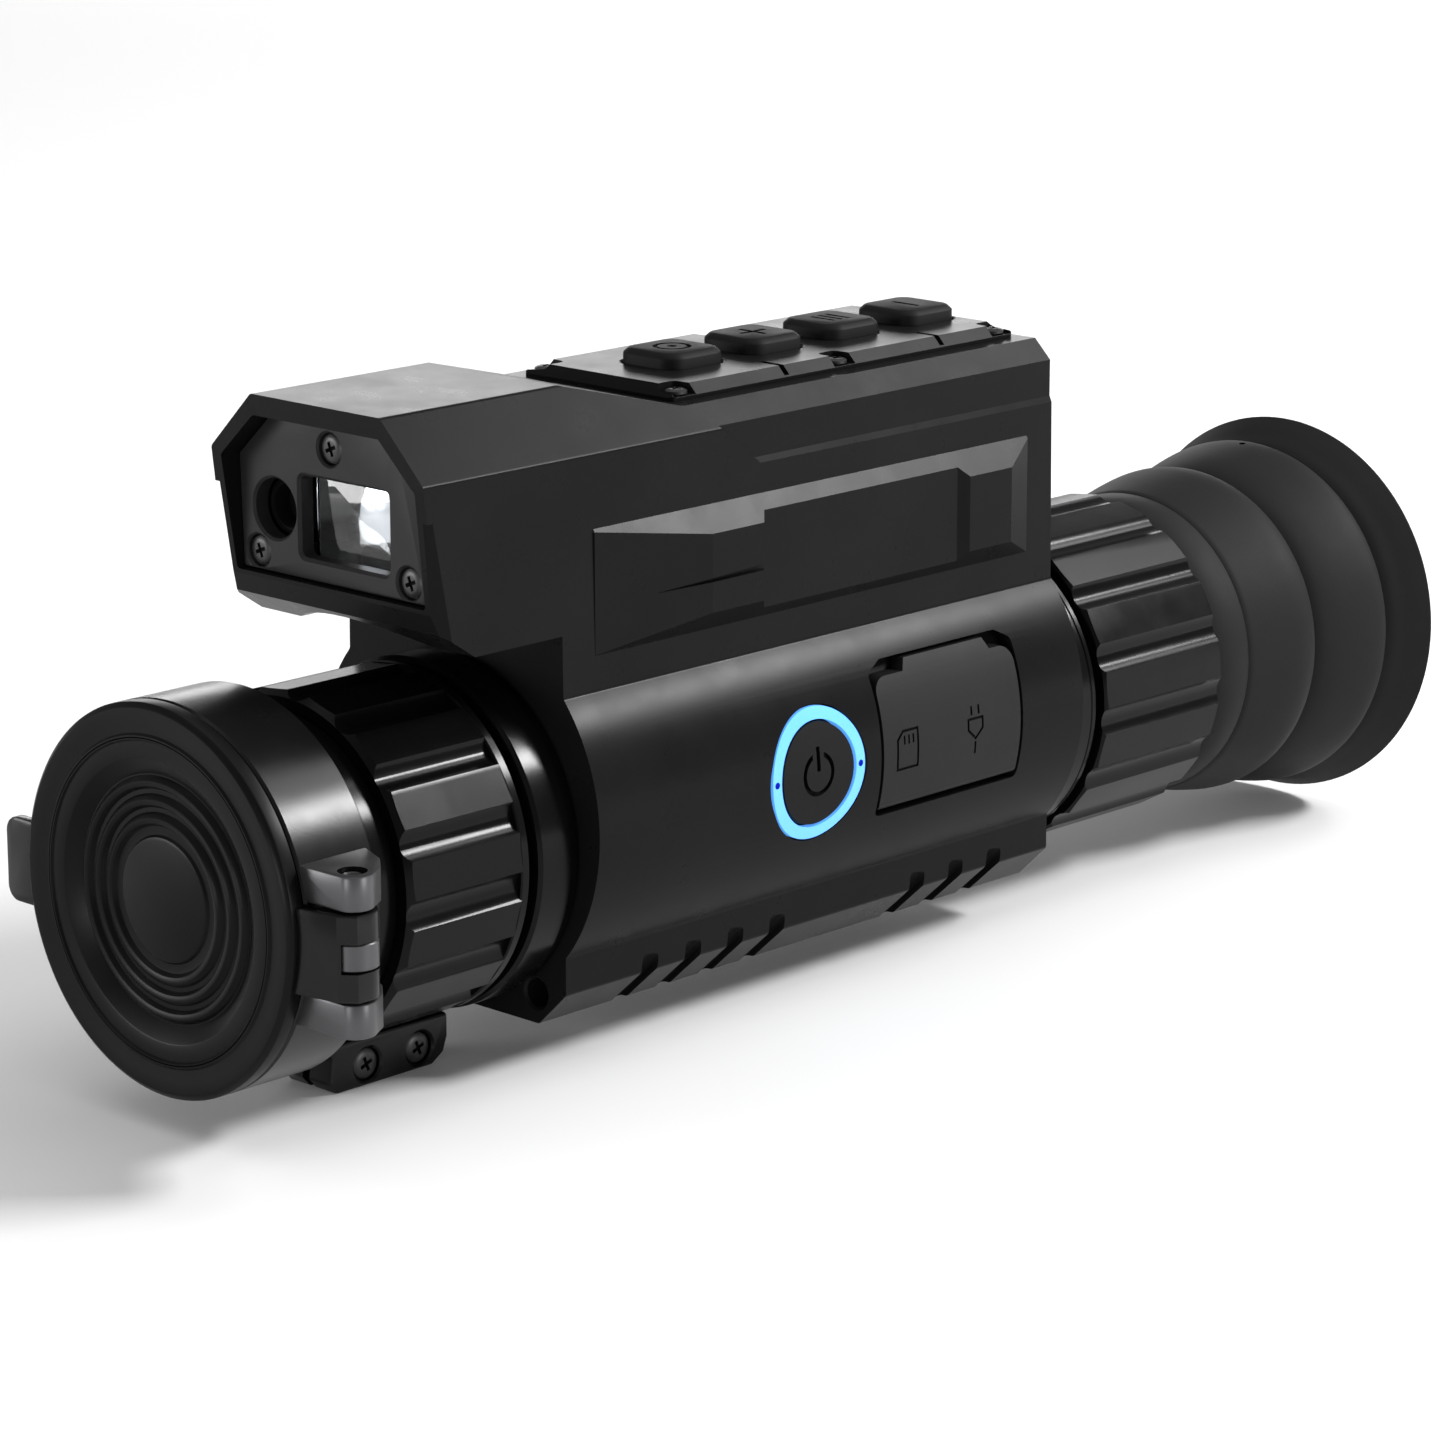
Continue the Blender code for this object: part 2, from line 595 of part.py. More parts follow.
def make_keypad():
    outline = rounded_rect(-PANEL_HALF, PANEL_HALF, PANEL_FRONT, PANEL_REAR, 1.2, 2)
    panel = prism("button_panel", "anodised", outline, "Z", DECK_Z + 0.02, PANEL_TOP_Z)
    half = PANEL_HALF
    side = [(half + 4, DECK_Z - 1), (half, DECK_Z - 0.4), (half - PANEL_SLOPE, PANEL_TOP_Z + 0.4),
            (half - PANEL_SLOPE, PANEL_TOP_Z + 3), (half + 4, PANEL_TOP_Z + 3)]
    for sign in (-1, 1):
        boolean(panel, prism("cut_panel_side", None, [(sign * x, z) for x, z in side], "Y", -40, 70))
    front = [(PANEL_FRONT - 4, DECK_Z - 1), (PANEL_FRONT, DECK_Z - 0.4),
             (PANEL_FRONT + PANEL_SLOPE, PANEL_TOP_Z + 0.4), (PANEL_FRONT + PANEL_SLOPE, PANEL_TOP_Z + 3),
             (PANEL_FRONT - 4, PANEL_TOP_Z + 3)]
    boolean(panel, prism("cut_panel_front", None, front, "X", -REACH, REACH))
    notches = []
    holes = []
    for sign in (-1, 1):
        x = sign * PANEL_SCREW_X
        for y in PANEL_SCREW_Y:
            span = tuple(sorted((sign * (PANEL_SCREW_X - 2.3), sign * (PANEL_HALF + 5))))
            notches.append(panel_notch(y, span))
            holes.append(rod("hole", None, (x, y, 0), "Z", 80, 90, 1.0, 8))
    boolean(panel, merge("cut_panel_notches", None, notches))
    boolean(panel, merge("cut_panel_holes", None, holes))
    wells = []
    half = BUTTON_SIZE / 2 + KEY_GAP
    for i in range(len(BUTTON_NAMES)):
        y = BUTTON_FIRST_Y + i * BUTTON_PITCH
        well = rounded_rect(-half, half, y - half, y + half, BUTTON_CORNER + KEY_GAP, 3)
        wells.append(prism("well", None, well, "Z", 80, 90))
    boolean(panel, merge("cut_panel_wells", None, wells))
    for sign, side_name in ((-1, "left"), (1, "right")):
        for y, place in zip(PANEL_SCREW_Y, ("front", "middle", "rear")):
            screw("panel_screw_%s_%s" % (side_name, place), (sign * PANEL_SCREW_X, y, 0), "Z",
                  DECK_Z + 1.5, 1, 1.6, 0.7, 0.75, 3.6)
    for i, label in enumerate(BUTTON_NAMES):
        make_button(label, BUTTON_FIRST_Y + i * BUTTON_PITCH)
    box("keypad_board", "board", (-8.0, 8.0), (-14.0, 46.0), (75.2, 76.6))


def make_button(label, y):
    half = BUTTON_SIZE / 2
    low = DECK_Z + BUTTON_TRAVEL + KEY_SEAT
    plan = rounded_rect(-half, half, y - half, y + half, BUTTON_CORNER, 3)
    key = prism("button_" + label, "key_rubber", plan, "Z", low, BUTTON_TOP_Z)
    round_edges(key, KEY_EDGE, 1, 50)
    stem = rod("stem_" + label, None, (0, y, 0), "Z", STEM_FOOT_Z, low + 0.4, STEM_R, 12)
    boolean(key, stem, 'UNION')


# ---------------------------------------------------------------- power button and ports
def make_power():
    ring = turned("power_led_ring", "led",
                  [(30, LED_INNER), (30, LED_OUTER), (POWER_FLOOR_X + GAP, LED_OUTER),
                   (POWER_FLOOR_X + GAP, LED_INNER)], (0, POWER_Y, POWER_Z), "X", 36)
    boolean(ring, bulge("limit_led", BULGE_R, -30, 20), 'INTERSECT')
    key = turned("power_button", "key_rubber",
                 [(30, 0), (30, POWER_R), (POWER_FLOOR_X + 1.1, POWER_R), (POWER_FLOOR_X + 1.1, 3.6),
                  (22.6, 3.6), (22.6, 0)], (0, POWER_Y, POWER_Z), "X", 36)
    boolean(key, bulge("limit_power", BULGE_R - 0.1, -30, 20), 'INTERSECT')


def make_ports():
    cover = prism("port_cover", "rubber", port_outline(-GAP, PORT_PIN_Z), "X", 18, 34)
    boolean(cover, bulge("limit_port", BULGE_R, 0, 44), 'INTERSECT')
    boolean(cover, bulge("core_cover", BULGE_R - PORT_SKIN, 0, 44))
    lo, hi = PORT_Y[0] + GAP, PORT_Y[1] - GAP
    knuckle = rod("knuckle_port", None, (PORT_PIN_X, 0, PORT_PIN_Z), "Y", lo, hi, PORT_KNUCKLE_R, 16)
    boolean(cover, knuckle, 'UNION')
    boolean(cover, rod("cut_port_pin", None, (PORT_PIN_X, 0, PORT_PIN_Z), "Y", 0, 44, 0.65, 12))
    rod("port_cover_pin", "steel", (PORT_PIN_X, 0, PORT_PIN_Z), "Y", PORT_Y[0] - 1.5, PORT_Y[1] + 1.5,
        0.45, 12)
    socket = box("usb_socket", "steel", (21.0, 25.4), (25.3, 34.3), (28.9, 32.3))
    boolean(socket, box("cut_socket", None, (22.0, 28), (25.8, 33.8), (29.4, 31.8)))
    slot = box("card_slot", "black_plastic", (21.0, 24.5), (10.9, 13.3), (24.7, 36.9))
    boolean(slot, box("cut_card", None, (22.0, 28), (11.6, 12.6), (25.4, 36.2)))
    box("port_board", "board", (19.4, 20.7), (8.0, 37.0), (22.6, 39.0))


# ---------------------------------------------------------------- objective
def fluted(name, slot, front, rear, radius, bore):
    """A grip ring with straight flutes."""
    pitch = 360.0 / FLUTES
    outline = []
    for i in range(FLUTES):
        start = i * pitch
        outline += arc(0, AXIS_Z, radius, start, start + pitch * 0.56, 2)
        outline += arc(0, AXIS_Z, radius - 0.9, start + pitch * 0.66, start + pitch * 0.90, 1)
    ring = prism(name, slot, outline, "Y", front, rear)
    return boolean(ring, rod("cut_" + name, None, (0, 0, AXIS_Z), "Y", front - 1, rear + 1, bore, 32))


def make_objective():
    turned("objective_barrel", "anodised",
           [(BARREL_FRONT, BARREL_R), (COLLAR_FRONT, BARREL_R), (COLLAR_FRONT, COLLAR_R),
            (BODY_FRONT - GAP, COLLAR_R), (BODY_FRONT - GAP, 21.5), (BODY_FRONT + 3.8, 21.5),
            (BODY_FRONT + 3.8, BARREL_BORE), (BARREL_FRONT, BARREL_BORE)], steps=32)
    fluted("focus_ring", "anodised", FOCUS_FRONT, FOCUS_REAR, FOCUS_R, BARREL_R + GAP)
    lens_r = BARREL_BORE - GAP
    turned("objective_retaining_ring", "anodised",
           [(BARREL_FRONT + 0.5, lens_r), (BARREL_FRONT + 3, lens_r), (BARREL_FRONT + 3, 16.4),
            (BARREL_FRONT + 0.5, 17.2)])
    turned("objective_lens", "germanium",
           [(-94.9, 0), (-94.6, 8.0), (-93.8, 14.0), (-92.6, lens_r), (-89.0, lens_r), (-89.0, 0)])
    turned("lens_cell", "anodised",
           [(-82.0, lens_r), (-68.0, lens_r), (-68.0, 14.0), (-74.0, 14.0), (-74.0, 16.0), (-82.0, 16.0)])
    turned("focus_lens", "germanium",
           [(-80.6, 0), (-79.8, 9.0), (-78.6, 15.7), (-74.3, 15.7), (-74.3, 0)])


# ---------------------------------------------------------------- flip cap
def make_cap_ring():
    ring = turned("cap_ring", "cap_metal",
                  [(CAP_FRONT, CAP_R), (CAP_REAR + 0.5, CAP_R), (CAP_REAR, CAP_R - 0.5),
                   (CAP_REAR, BARREL_R + GAP), (BARREL_FRONT - GAP, BARREL_R + GAP),
                   (BARREL_FRONT - GAP, 24.3), (CAP_FRONT, 24.3)], steps=40)
    top = HINGE_MID_Z + KNUCKLE_HALF + GAP
    bottom = HINGE_MID_Z - KNUCKLE_HALF - GAP
    plan = ([(23.2, -103.0), (HINGE_X + 1.2, -103.0)]
            + [(HINGE_X + 3.3, -101.4), (HINGE_X + 3.4, -97.9), (30.0, -93.4), (23.2, -90.6)])
    for label, lo, hi in (("upper", top, top + LUG_HEIGHT), ("lower", bottom - LUG_HEIGHT, bottom)):
        boolean(ring, prism("lug_" + label, None, plan, "Z", lo, hi), 'UNION')
    tail = [(-95.0, -0.6), (EAR_FRONT + 0.6, -0.6),
            (EAR_FRONT, EAR_BOTTOM + 1.6), (EAR_FRONT + 1.4, EAR_BOTTOM),
            (EAR_REAR - 3.0, EAR_BOTTOM), (EAR_REAR - 0.8, EAR_BOTTOM + 1.4), (EAR_REAR, EAR_BOTTOM + 3.6),
            (EAR_REAR, 0.9), (CAP_REAR - 0.6, 0.9), (CAP_REAR - 0.6, 2.6), (-95.0, 2.6)]
    boolean(ring, prism("clamp_tail", None, tail, "X", -EAR_X, EAR_X), 'UNION')
    boolean(ring, box("cut_clamp_gap", None, (-EAR_GAP, EAR_GAP), (-106, -50), (-12, 8)))
    boolean(ring, rod("cut_hinge_bore", None, (HINGE_X, HINGE_Y, 0), "Z", 8, 42, HINGE_PIN_R + 0.3, 16))
    holes = []
    heads = []
    for y in CLAMP_SCREW_Y:
        holes.append(rod("hole", None, (0, y, CLAMP_SCREW_Z), "X", -10, 10, 1.25, 8))
        heads.append(rod("head", None, (0, y, CLAMP_SCREW_Z), "X", EAR_X - 1.4, 10, 2.45, 14))
    boolean(ring, merge("cut_clamp_holes", None, holes))
    boolean(ring, merge("cut_clamp_heads", None, heads))
    for y, label in zip(CLAMP_SCREW_Y, ("front", "rear")):
        screw("cap_clamp_screw_" + label, (0, y, CLAMP_SCREW_Z), "X", EAR_X - 0.3, 1, 2.15, 0.85, 1.0, 9.2)
    turned("hinge_pin", "steel",
           [(top + LUG_HEIGHT - 0.5, 0), (top + LUG_HEIGHT - 0.5, HINGE_PIN_R),
            (bottom - LUG_HEIGHT + 0.5, HINGE_PIN_R), (bottom - LUG_HEIGHT + 0.5, 0)],
           (HINGE_X, HINGE_Y, 0), "Z", 16)
    half = BUSH_HALF - 0.15
    turned("hinge_friction_bush", "cap_metal",
           [(HINGE_MID_Z + half, HINGE_PIN_R + 0.15), (HINGE_MID_Z + half, KNUCKLE_R),
            (HINGE_MID_Z - half, KNUCKLE_R), (HINGE_MID_Z - half, HINGE_PIN_R + 0.15)],
           (HINGE_X, HINGE_Y, 0), "Z", 16)


def make_lid():
    """The lid: a dished disc with a hinge arm on +X and a finger tab on -X."""
    front = LID_FRONT
    lid = turned("cap_lid", "cap_metal",
                 [(front + 1.5, 0), (front + 1.5, 8.4), (front + 1.1, 8.9), (front + 1.2, 16.0),
                  (front, 19.3), (front, 26.4),
                  (front + 0.6, CAP_R), (LID_BACK, CAP_R), (LID_BACK, 23.4), (LID_BACK + 1.1, 23.2),
                  (LID_BACK + 1.1, 0)], steps=40)
    lo, hi = HINGE_MID_Z - KNUCKLE_HALF, HINGE_MID_Z + KNUCKLE_HALF
    arm = [(22.0, LID_FRONT + 0.3), (HINGE_X + 1.0, LID_FRONT + 2.6), (HINGE_X + 3.2, -102.0),
           (HINGE_X + 3.2, -99.8), (HINGE_X + 2.4, -97.5), (HINGE_X, -96.5), (HINGE_X - 2.4, -97.5),
           (HINGE_X - 3.2, -99.8), (HINGE_X - 3.4, LID_BACK), (22.0, LID_BACK)]
    boolean(lid, prism("lid_arm", None, arm, "Z", lo, hi), 'UNION')
    tab = rounded_rect(-31.8, -24.0, AXIS_Z - 6.0, AXIS_Z + 6.0, 2.2, 4)
    boolean(lid, prism("lid_tab", None, tab, "Y", LID_FRONT + 0.4, LID_FRONT + 2.3), 'UNION')
    boolean(lid, rod("cut_knuckle", None, (HINGE_X, HINGE_Y, 0), "Z", 8, 42, HINGE_PIN_R + 0.3, 16))
    boolean(lid, box("cut_bush", None, (HINGE_X - 4.0, HINGE_X + 6), (-103.3, -94),
                     (HINGE_MID_Z - BUSH_HALF, HINGE_MID_Z + BUSH_HALF)))


# ---------------------------------------------------------------- eyepiece
def make_eyepiece():
    turned("eyepiece_tube", "anodised",
           [(45.4, 21.2), (BODY_REAR - COVER_DEPTH - GAP, 21.2), (BODY_REAR - COVER_DEPTH - GAP, TUBE_R),
            (TUBE_REAR, TUBE_R), (TUBE_REAR, TUBE_BORE), (45.4, TUBE_BORE)], steps=28)
    ring = turned("eyepiece_collar", "anodised",
                  [(RING_FRONT, RING_R - 0.6), (RING_FRONT + 0.6, RING_R), (RING_REAR - 0.6, RING_R),
                   (RING_REAR, RING_R - 0.6), (RING_REAR, TUBE_R + GAP), (RING_FRONT, TUBE_R + GAP)],
                  steps=28)
    angle = math.radians(31)
    hole = rod("cut_set_screw", None, (0, 0, 0), "Z", 18, 30, 1.0, 8)
    tilt = Matrix.Rotation(math.pi / 2 - angle, 4, 'Y')
    hole.matrix_world = Matrix.Translation(Vector((0, 57.0, AXIS_Z)) * MM) @ tilt
    boolean(ring, hole)
    pin = rod("collar_set_screw", "dark_steel", (0, 0, 0), "Z", TUBE_R + GAP + 0.05, 23.2, 0.8, 8)
    pin.matrix_world = hole.matrix_world.copy()
    fluted("diopter_ring", "anodised", DIOPTER_FRONT, DIOPTER_REAR, DIOPTER_R, TUBE_R + GAP)
    cell_r = TUBE_BORE - GAP
    turned("eyepiece_cell", "anodised",
           [(68.0, cell_r), (92.0, cell_r), (92.0, 14.0), (89.0, 14.0), (89.0, 15.2), (68.0, 15.2)])
    turned("eyepiece_lens_front", "glass",
           [(70.0, 0), (70.6, 8.0), (72.0, 14.9), (76.0, 14.9), (77.4, 8.0), (78.0, 0)], steps=24)
    turned("eyepiece_lens_rear", "glass",
           [(82.0, 0), (82.5, 8.0), (83.6, 14.9), (88.7, 14.9), (88.7, 8.0), (88.7, 0)], steps=24)


def make_eyecup():
    """The rubber eyecup: two rolled folds and a flared rim, thin walled and open through."""
    outer = [(CUP_FRONT, 23.8), (98, 25.0), (109.5, 26.6), (111.8, 26.2), (113.2, 24.9), (126.2, 28.5),
             (128.6, 28.2), (129.8, 27.0), (133.5, 28.8), (CUP_REAR, CUP_RIM_R)]
    inner = [(CUP_REAR, CUP_RIM_R - 1.0), (129.5, 25.3), (126.0, 26.2), (113.0, 23.1),
             (109.0, 24.0), (TUBE_REAR + GAP, 21.4), (TUBE_REAR + GAP, TUBE_R + GAP),
             (CUP_FRONT, TUBE_R + GAP)]
    turned("eyecup", "rubber", outer + inner, steps=28)


# ---------------------------------------------------------------- inside
def make_inside():
    sensor = box("thermal_sensor", "black_plastic", (-12, 12), (-40.5, -28.0), (AXIS_Z - 12, AXIS_Z + 12))
    round_edges(sensor, 0.8)
    box("shutter_blade", "dark_steel", (-11, 11), (-42.6, -41.4), (AXIS_Z - 11, AXIS_Z + 11))
    box("sensor_board", "board", (-13, 13), (-27.4, -26.0), (AXIS_Z - 12, AXIS_Z + 12))
    box("main_board", "board", (-15, 15), (-38, 42), (49.5, 51.0))
    for sign, side in ((-1, "left"), (1, "right")):
        centre = (sign * 8.6, 0, 61.0)
        turned("battery_cell_" + side, "cell",
               [(-30.0, 0), (-30.0, 7.2), (-29.2, 8.2), (34.2, 8.2), (35.0, 7.2), (35.0, 0)],
               centre, "Y", 16)
    display = box("display_module", "black_plastic", (-9, 9), (30.0, 34.0), (AXIS_Z - 7.5, AXIS_Z + 7.5))
    round_edges(display, 0.5)


make_housing()
make_rear_cover()
for number, (sx, sz) in enumerate(REAR_SCREWS, 1):
    screw("rear_cover_screw_%d" % number, (sx, 0, sz), "Y", BODY_REAR - 0.3, 1, HEAD_R, HEAD_H, SHANK_R, 2.75)
make_rangefinder()
make_keypad()
make_power()
make_ports()
make_objective()
make_cap_ring()
make_lid()
make_eyepiece()
make_eyecup()
make_inside()
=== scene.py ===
import json
import math

import bmesh
import bpy
from mathutils import Matrix, Vector


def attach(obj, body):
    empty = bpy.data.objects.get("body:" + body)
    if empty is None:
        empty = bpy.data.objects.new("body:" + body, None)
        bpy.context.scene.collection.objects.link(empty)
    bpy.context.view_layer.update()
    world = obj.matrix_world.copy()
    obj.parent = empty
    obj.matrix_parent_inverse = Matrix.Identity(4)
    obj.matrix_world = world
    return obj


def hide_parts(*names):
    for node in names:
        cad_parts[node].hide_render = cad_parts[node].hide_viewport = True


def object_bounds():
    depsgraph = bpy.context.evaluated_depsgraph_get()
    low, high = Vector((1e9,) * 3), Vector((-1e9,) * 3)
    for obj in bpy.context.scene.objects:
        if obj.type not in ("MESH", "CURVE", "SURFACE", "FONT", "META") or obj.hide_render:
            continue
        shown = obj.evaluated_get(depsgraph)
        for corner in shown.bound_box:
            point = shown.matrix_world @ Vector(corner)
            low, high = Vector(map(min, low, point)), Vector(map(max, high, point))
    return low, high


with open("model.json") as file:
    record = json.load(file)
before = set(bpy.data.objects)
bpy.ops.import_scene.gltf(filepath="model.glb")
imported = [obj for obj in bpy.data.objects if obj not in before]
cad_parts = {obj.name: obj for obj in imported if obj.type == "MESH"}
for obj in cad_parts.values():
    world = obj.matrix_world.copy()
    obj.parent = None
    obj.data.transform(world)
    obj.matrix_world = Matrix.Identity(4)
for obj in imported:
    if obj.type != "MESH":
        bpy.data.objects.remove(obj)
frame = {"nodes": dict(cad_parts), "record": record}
cad_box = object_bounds()

MM = 0.001
GAP = 0.3                      # running and seating clearance between neighbouring pieces
REACH = 40                     # half length of a cutter that passes through everything
FINE = 96                      # facets round a large turned piece
COARSE = 32                    # facets round a small one
TINY = 16                      # facets round a screw hole
WELD = 0.02                    # corners closer than this become one
FLAT_ANGLE = 0.8               # facets that turn by less than this many degrees become one

# Housing, in millimetres: the same frame and dimensions as the CAD part
AXIS_Z = 26.0
BODY_FRONT = -51.5
BODY_REAR = 51.5
HOOD_FRONT = -76.4
BASE_HALF = 16.2
SIDE_HALF = 21.6
BASE_CHAMFER_TOP = 5.2
BULGE_Z = 29.0
BULGE_R = 28.4
SHOULDER_HALF = 21.2
SHOULDER_Z = 80.4
HOOD_HALF = 12.9
HOOD_TOP = 88.6
DECK_Z = 83.7
DECK_HALF = 17.8
RAMP_FRONT = -43.7
RAMP_REAR = -24.2
WALL_R = 24.5
UPPER_HALF = 17.6
UPPER_TOP = 79.0
COVER_DEPTH = 3.1
COVER_INSET = 2.0              # how far the rear cover's seat stays inside the outline
FRONT_WALL = 4.0
FRONT_BORE_R = 21.8
ARCH_R = 33.0
HOOD_UNDER_Z = 56.2            # underside of the shoulder's overhang
HOOD_LIP_Z = 62.6
HOOD_LIP_Y = -74.2
HOOD_RAKE_Z = 80.0             # the hood's rim leans back below this height
HOUSING_SHARP = 4.4            # the slab's shallow facets stay crisp

# Raised slab on each side wall: place along Y and height at each station
SLAB_STATIONS = ((-45.3, -0.02), (-24.2, 2.0), (-13.8, 2.0), (-12.8, 1.06),
                 (28.6, 1.06), (30.4, 2.0), (39.8, 2.0), (45.7, -0.02))
SLAB_TOP = 69.65
SLAB_BOTTOM = 52.5
LEDGE_SLOPE = 1.6              # fall of the upper ledge per millimetre of height
UNDERCUT_SLOPE = 1.35          # rise of the lower one
SLIT = ((-34.2, 1.05, 0.05, 59.5, 59.7), (-12.0, 2.0, 0.8, 59.6, 60.7))  # y, slab, depth, low, high
RELIEF_X = 20.85               # side wall above the sloped strip
RELIEF_FRONT = -13.4

# Slots and holes in the underside and front
SLOT_ROWS = ((-36.0, 4), (20.6, 3))
SLOT_PITCH = 8.7
SLOT_SIZE = (6.4, 3.2, 11.2)
SLOT_PLACE = (20.9, 2.3)
SLOT_TILT = 44
SLOT_LEAN = -8
BASE_HOLES = (9.0, 30.0)
BASE_HOLE_R = 1.7
BASE_HOLE_DEPTH = 4.0
FRONT_HOLE = (15.6, 4.3)
FRONT_HOLE_R = 2.1

# Small cross-head screws
HOLE_R = 1.2
PANEL_HOLE_R = 1.0
SEAT_R = 2.3
SEAT_DEPTH = 1.3
HEAD_R = 2.0
SHANK_R = 0.95
REAR_SCREWS = ((-15.4, 76.0), (15.4, 76.0), (-16.0, 50.5), (16.0, 50.5))

# Rangefinder front
PLATE_FRONT = -73.3
PLATE_BACK = -70.8
PLATE_TOP = 85.4
PLATE_SHOULDER = 79.2
PLATE_FLOOR = 63.5
EMITTER_X = -12.0
EMITTER_Z = 72.4
EMITTER_R = 4.2
RECEIVER_X = 2.0
RECEIVER_Z = 72.1
LENS_DOME_R = 10.0             # curve of the receiver lens
LENS_DOME_Y = -68.2
WINDOW = (-6.9, 10.8, 66.4, 77.8)
PLATE_SCREWS = {"top": (-0.7, 82.1), "left": (-15.5, 66.0), "right": (14.7, 66.0)}

# Keypad
PANEL_FRONT = -23.2
PANEL_REAR = 50.0
PANEL_HALF = 14.9
PANEL_TOP_Z = 85.7
PANEL_SLOPE = 1.6
BUTTON_NAMES = ("range", "plus", "menu", "minus")
BUTTON_FIRST_Y = -8.0
BUTTON_PITCH = 16.8
BUTTON_SIZE = 11.6
BUTTON_CORNER = 2.8
KEY_GAP = 0.35
BUTTON_TOP_Z = 87.9
BUTTON_TRAVEL = 1.0
STEM_R = 2.6
STEM_FOOT_Z = 78.4
KEY_SEAT = 0.25                # a pressed key stops this far above the deck
ICON_DEPTH = 0.28
PANEL_SCREW_X = 13.0
PANEL_SCREW_Y = (-20.6, 12.6, 47.4)
PANEL_FOOT = 0.55              # thickness left under a panel screw
PANEL_LIP = 0.45               # upright edge at the foot of the panel's slopes

# Power button and ports on the +X flank
POWER_Y = -7.3
POWER_Z = 29.5
LED_OUTER = 9.65
LED_INNER = 7.85
POWER_R = 7.5
POWER_FLOOR_X = 25.7
PORT_Y = (6.2, 37.2)
PORT_TOP = 42.6
PORT_PIN_X = 26.35
PORT_PIN_Z = 22.2
PORT_SKIN = 2.1
PORT_KNUCKLE_R = 1.2
USB_ROOM = (25.0, 34.6, 28.6, 32.6)
USB_SHELL = (25.3, 34.3, 28.9, 32.3)
USB_MOUTH = (25.8, 33.8, 29.4, 31.8)
CARD_ROOM = (10.6, 13.6, 24.4, 37.2)
CARD_SHELL = (10.9, 13.3, 24.7, 36.9)
CARD_MOUTH = (11.6, 12.6, 25.4, 36.2)

# Objective
BARREL_FRONT = -98.0
BARREL_R = 22.0
BARREL_BORE = 19.0
COLLAR_FRONT = -59.4
COLLAR_R = 25.0
FOCUS_FRONT = -83.0
FOCUS_REAR = -61.0
FOCUS_R = 24.7
FLUTES = 16
FLUTE_DEPTH = 0.95
LAND_SHARE = 0.56              # share of the pitch that a land takes

# Flip cap
CAP_R = 27.0
CAP_FRONT = -103.2
CAP_REAR = -90.0
LID_FRONT = -106.2
LID_BACK = -103.5
HINGE_X = 32.0
HINGE_Y = -99.8
HINGE_MID_Z = 24.6
HINGE_PIN_R = 1.7
KNUCKLE_R = 3.3
KNUCKLE_HALF = 5.9
LUG_HEIGHT = 4.7
BUSH_HALF = 2.0
EAR_X = 5.0
EAR_GAP = 0.7
EAR_FRONT = -80.5
EAR_REAR = -58.4
EAR_BOTTOM = -6.2
CLAMP_SCREW_Y = (-73.5, -63.8)
CLAMP_SCREW_Z = -3.2

# Eyepiece
TUBE_R = 20.3
TUBE_BORE = 17.5
TUBE_REAR = 100.0
RING_FRONT = 52.0
RING_REAR = 60.2
RING_R = 24.2
SET_SCREW_Y = 57.0
SET_SCREW_RISE = 31            # degrees above the horizontal
DIOPTER_FRONT = 60.8
DIOPTER_REAR = 89.3
DIOPTER_R = 25.5
CUP_FRONT = 90.0
CUP_REAR = 137.2
LENS_R = 14.9
LENS_RINGS = 12
EYE_LENSES = (                 # for each face its place on the axis and how far its rim stands behind that
    ("eye_lens_rear", "eyepiece_lens_rear", ((82.0, 1.6), (87.8, 0.9))),
    ("eye_lens_front", "eyepiece_lens_front", ((70.0, 2.0), (78.0, -2.0))))


# Studio: floor, surround, lights and camera, in metres, watts and degrees
FLOOR_HALF = 6.0
FLOOR_GREY = 0.9
FLOOR_ROUGH = 0.9
WORLD_STRENGTH = 0.3
LIGHTS = (                     # name, place, target, size, power
    ("top_soft", (0.0, -0.1, 1.9), (0, 0, 0.04), (2.4, 2.4), 12.0),
    ("back_right", (0.84, 1.12, 1.00), (0, 0, 0.05), (0.5, 0.22), 29.0),
    ("high_back", (0.42, 1.41, 1.36), (0, 0, 0.06), (0.5, 0.35), 7.0),
    ("back_left", (-1.50, 1.58, 0.52), (0, 0, 0.08), (1.6, 0.45), 9.0),
    ("front_left", (-1.0, -1.2, 0.22), (0, -0.05, 0.06), (0.7, 0.35), 9.0),
    ("front_strip", (0.35, -1.5, 0.06), (0, -0.07, 0.07), (0.35, 0.3), 5.0),
    ("right_side", (1.6, 0.40, 0.16), (0, -0.05, 0.03), (0.5, 0.3), 6.0))
CAMERA_PLACE = (0.4779, -0.4985, 0.2090)
CAMERA_TILT = 75.9
CAMERA_HEADING = 43.5
CAMERA_LENS = 120.7            # millimetres on the sensor below
CAMERA_SENSOR = 36.0
CAMERA_SHIFT = (-0.0086, -0.0220)
CAMERA_CLIP = 0.01


# ---------------------------------------------------------------- materials
def new_material(name):
    """An empty node material with its nodes and links."""
    mat = bpy.data.materials.new(name)
    mat.use_nodes = True
    return mat, mat.node_tree.nodes, mat.node_tree.links


def settle(node, values):
    """Sets a node's inputs, values by input name."""
    for name, value in values.items():
        node.inputs[name].default_value = value


def noise(nodes, links, coords, scale, detail=3.0, rough=0.5):
    """A noise texture on the object's own coordinates, scale in cycles per metre."""
    node = nodes.new("ShaderNodeTexNoise")
    settle(node, {"Scale": scale, "Detail": detail, "Roughness": rough})
    links.new(coords.outputs["Object"], node.inputs["Vector"])
    return node


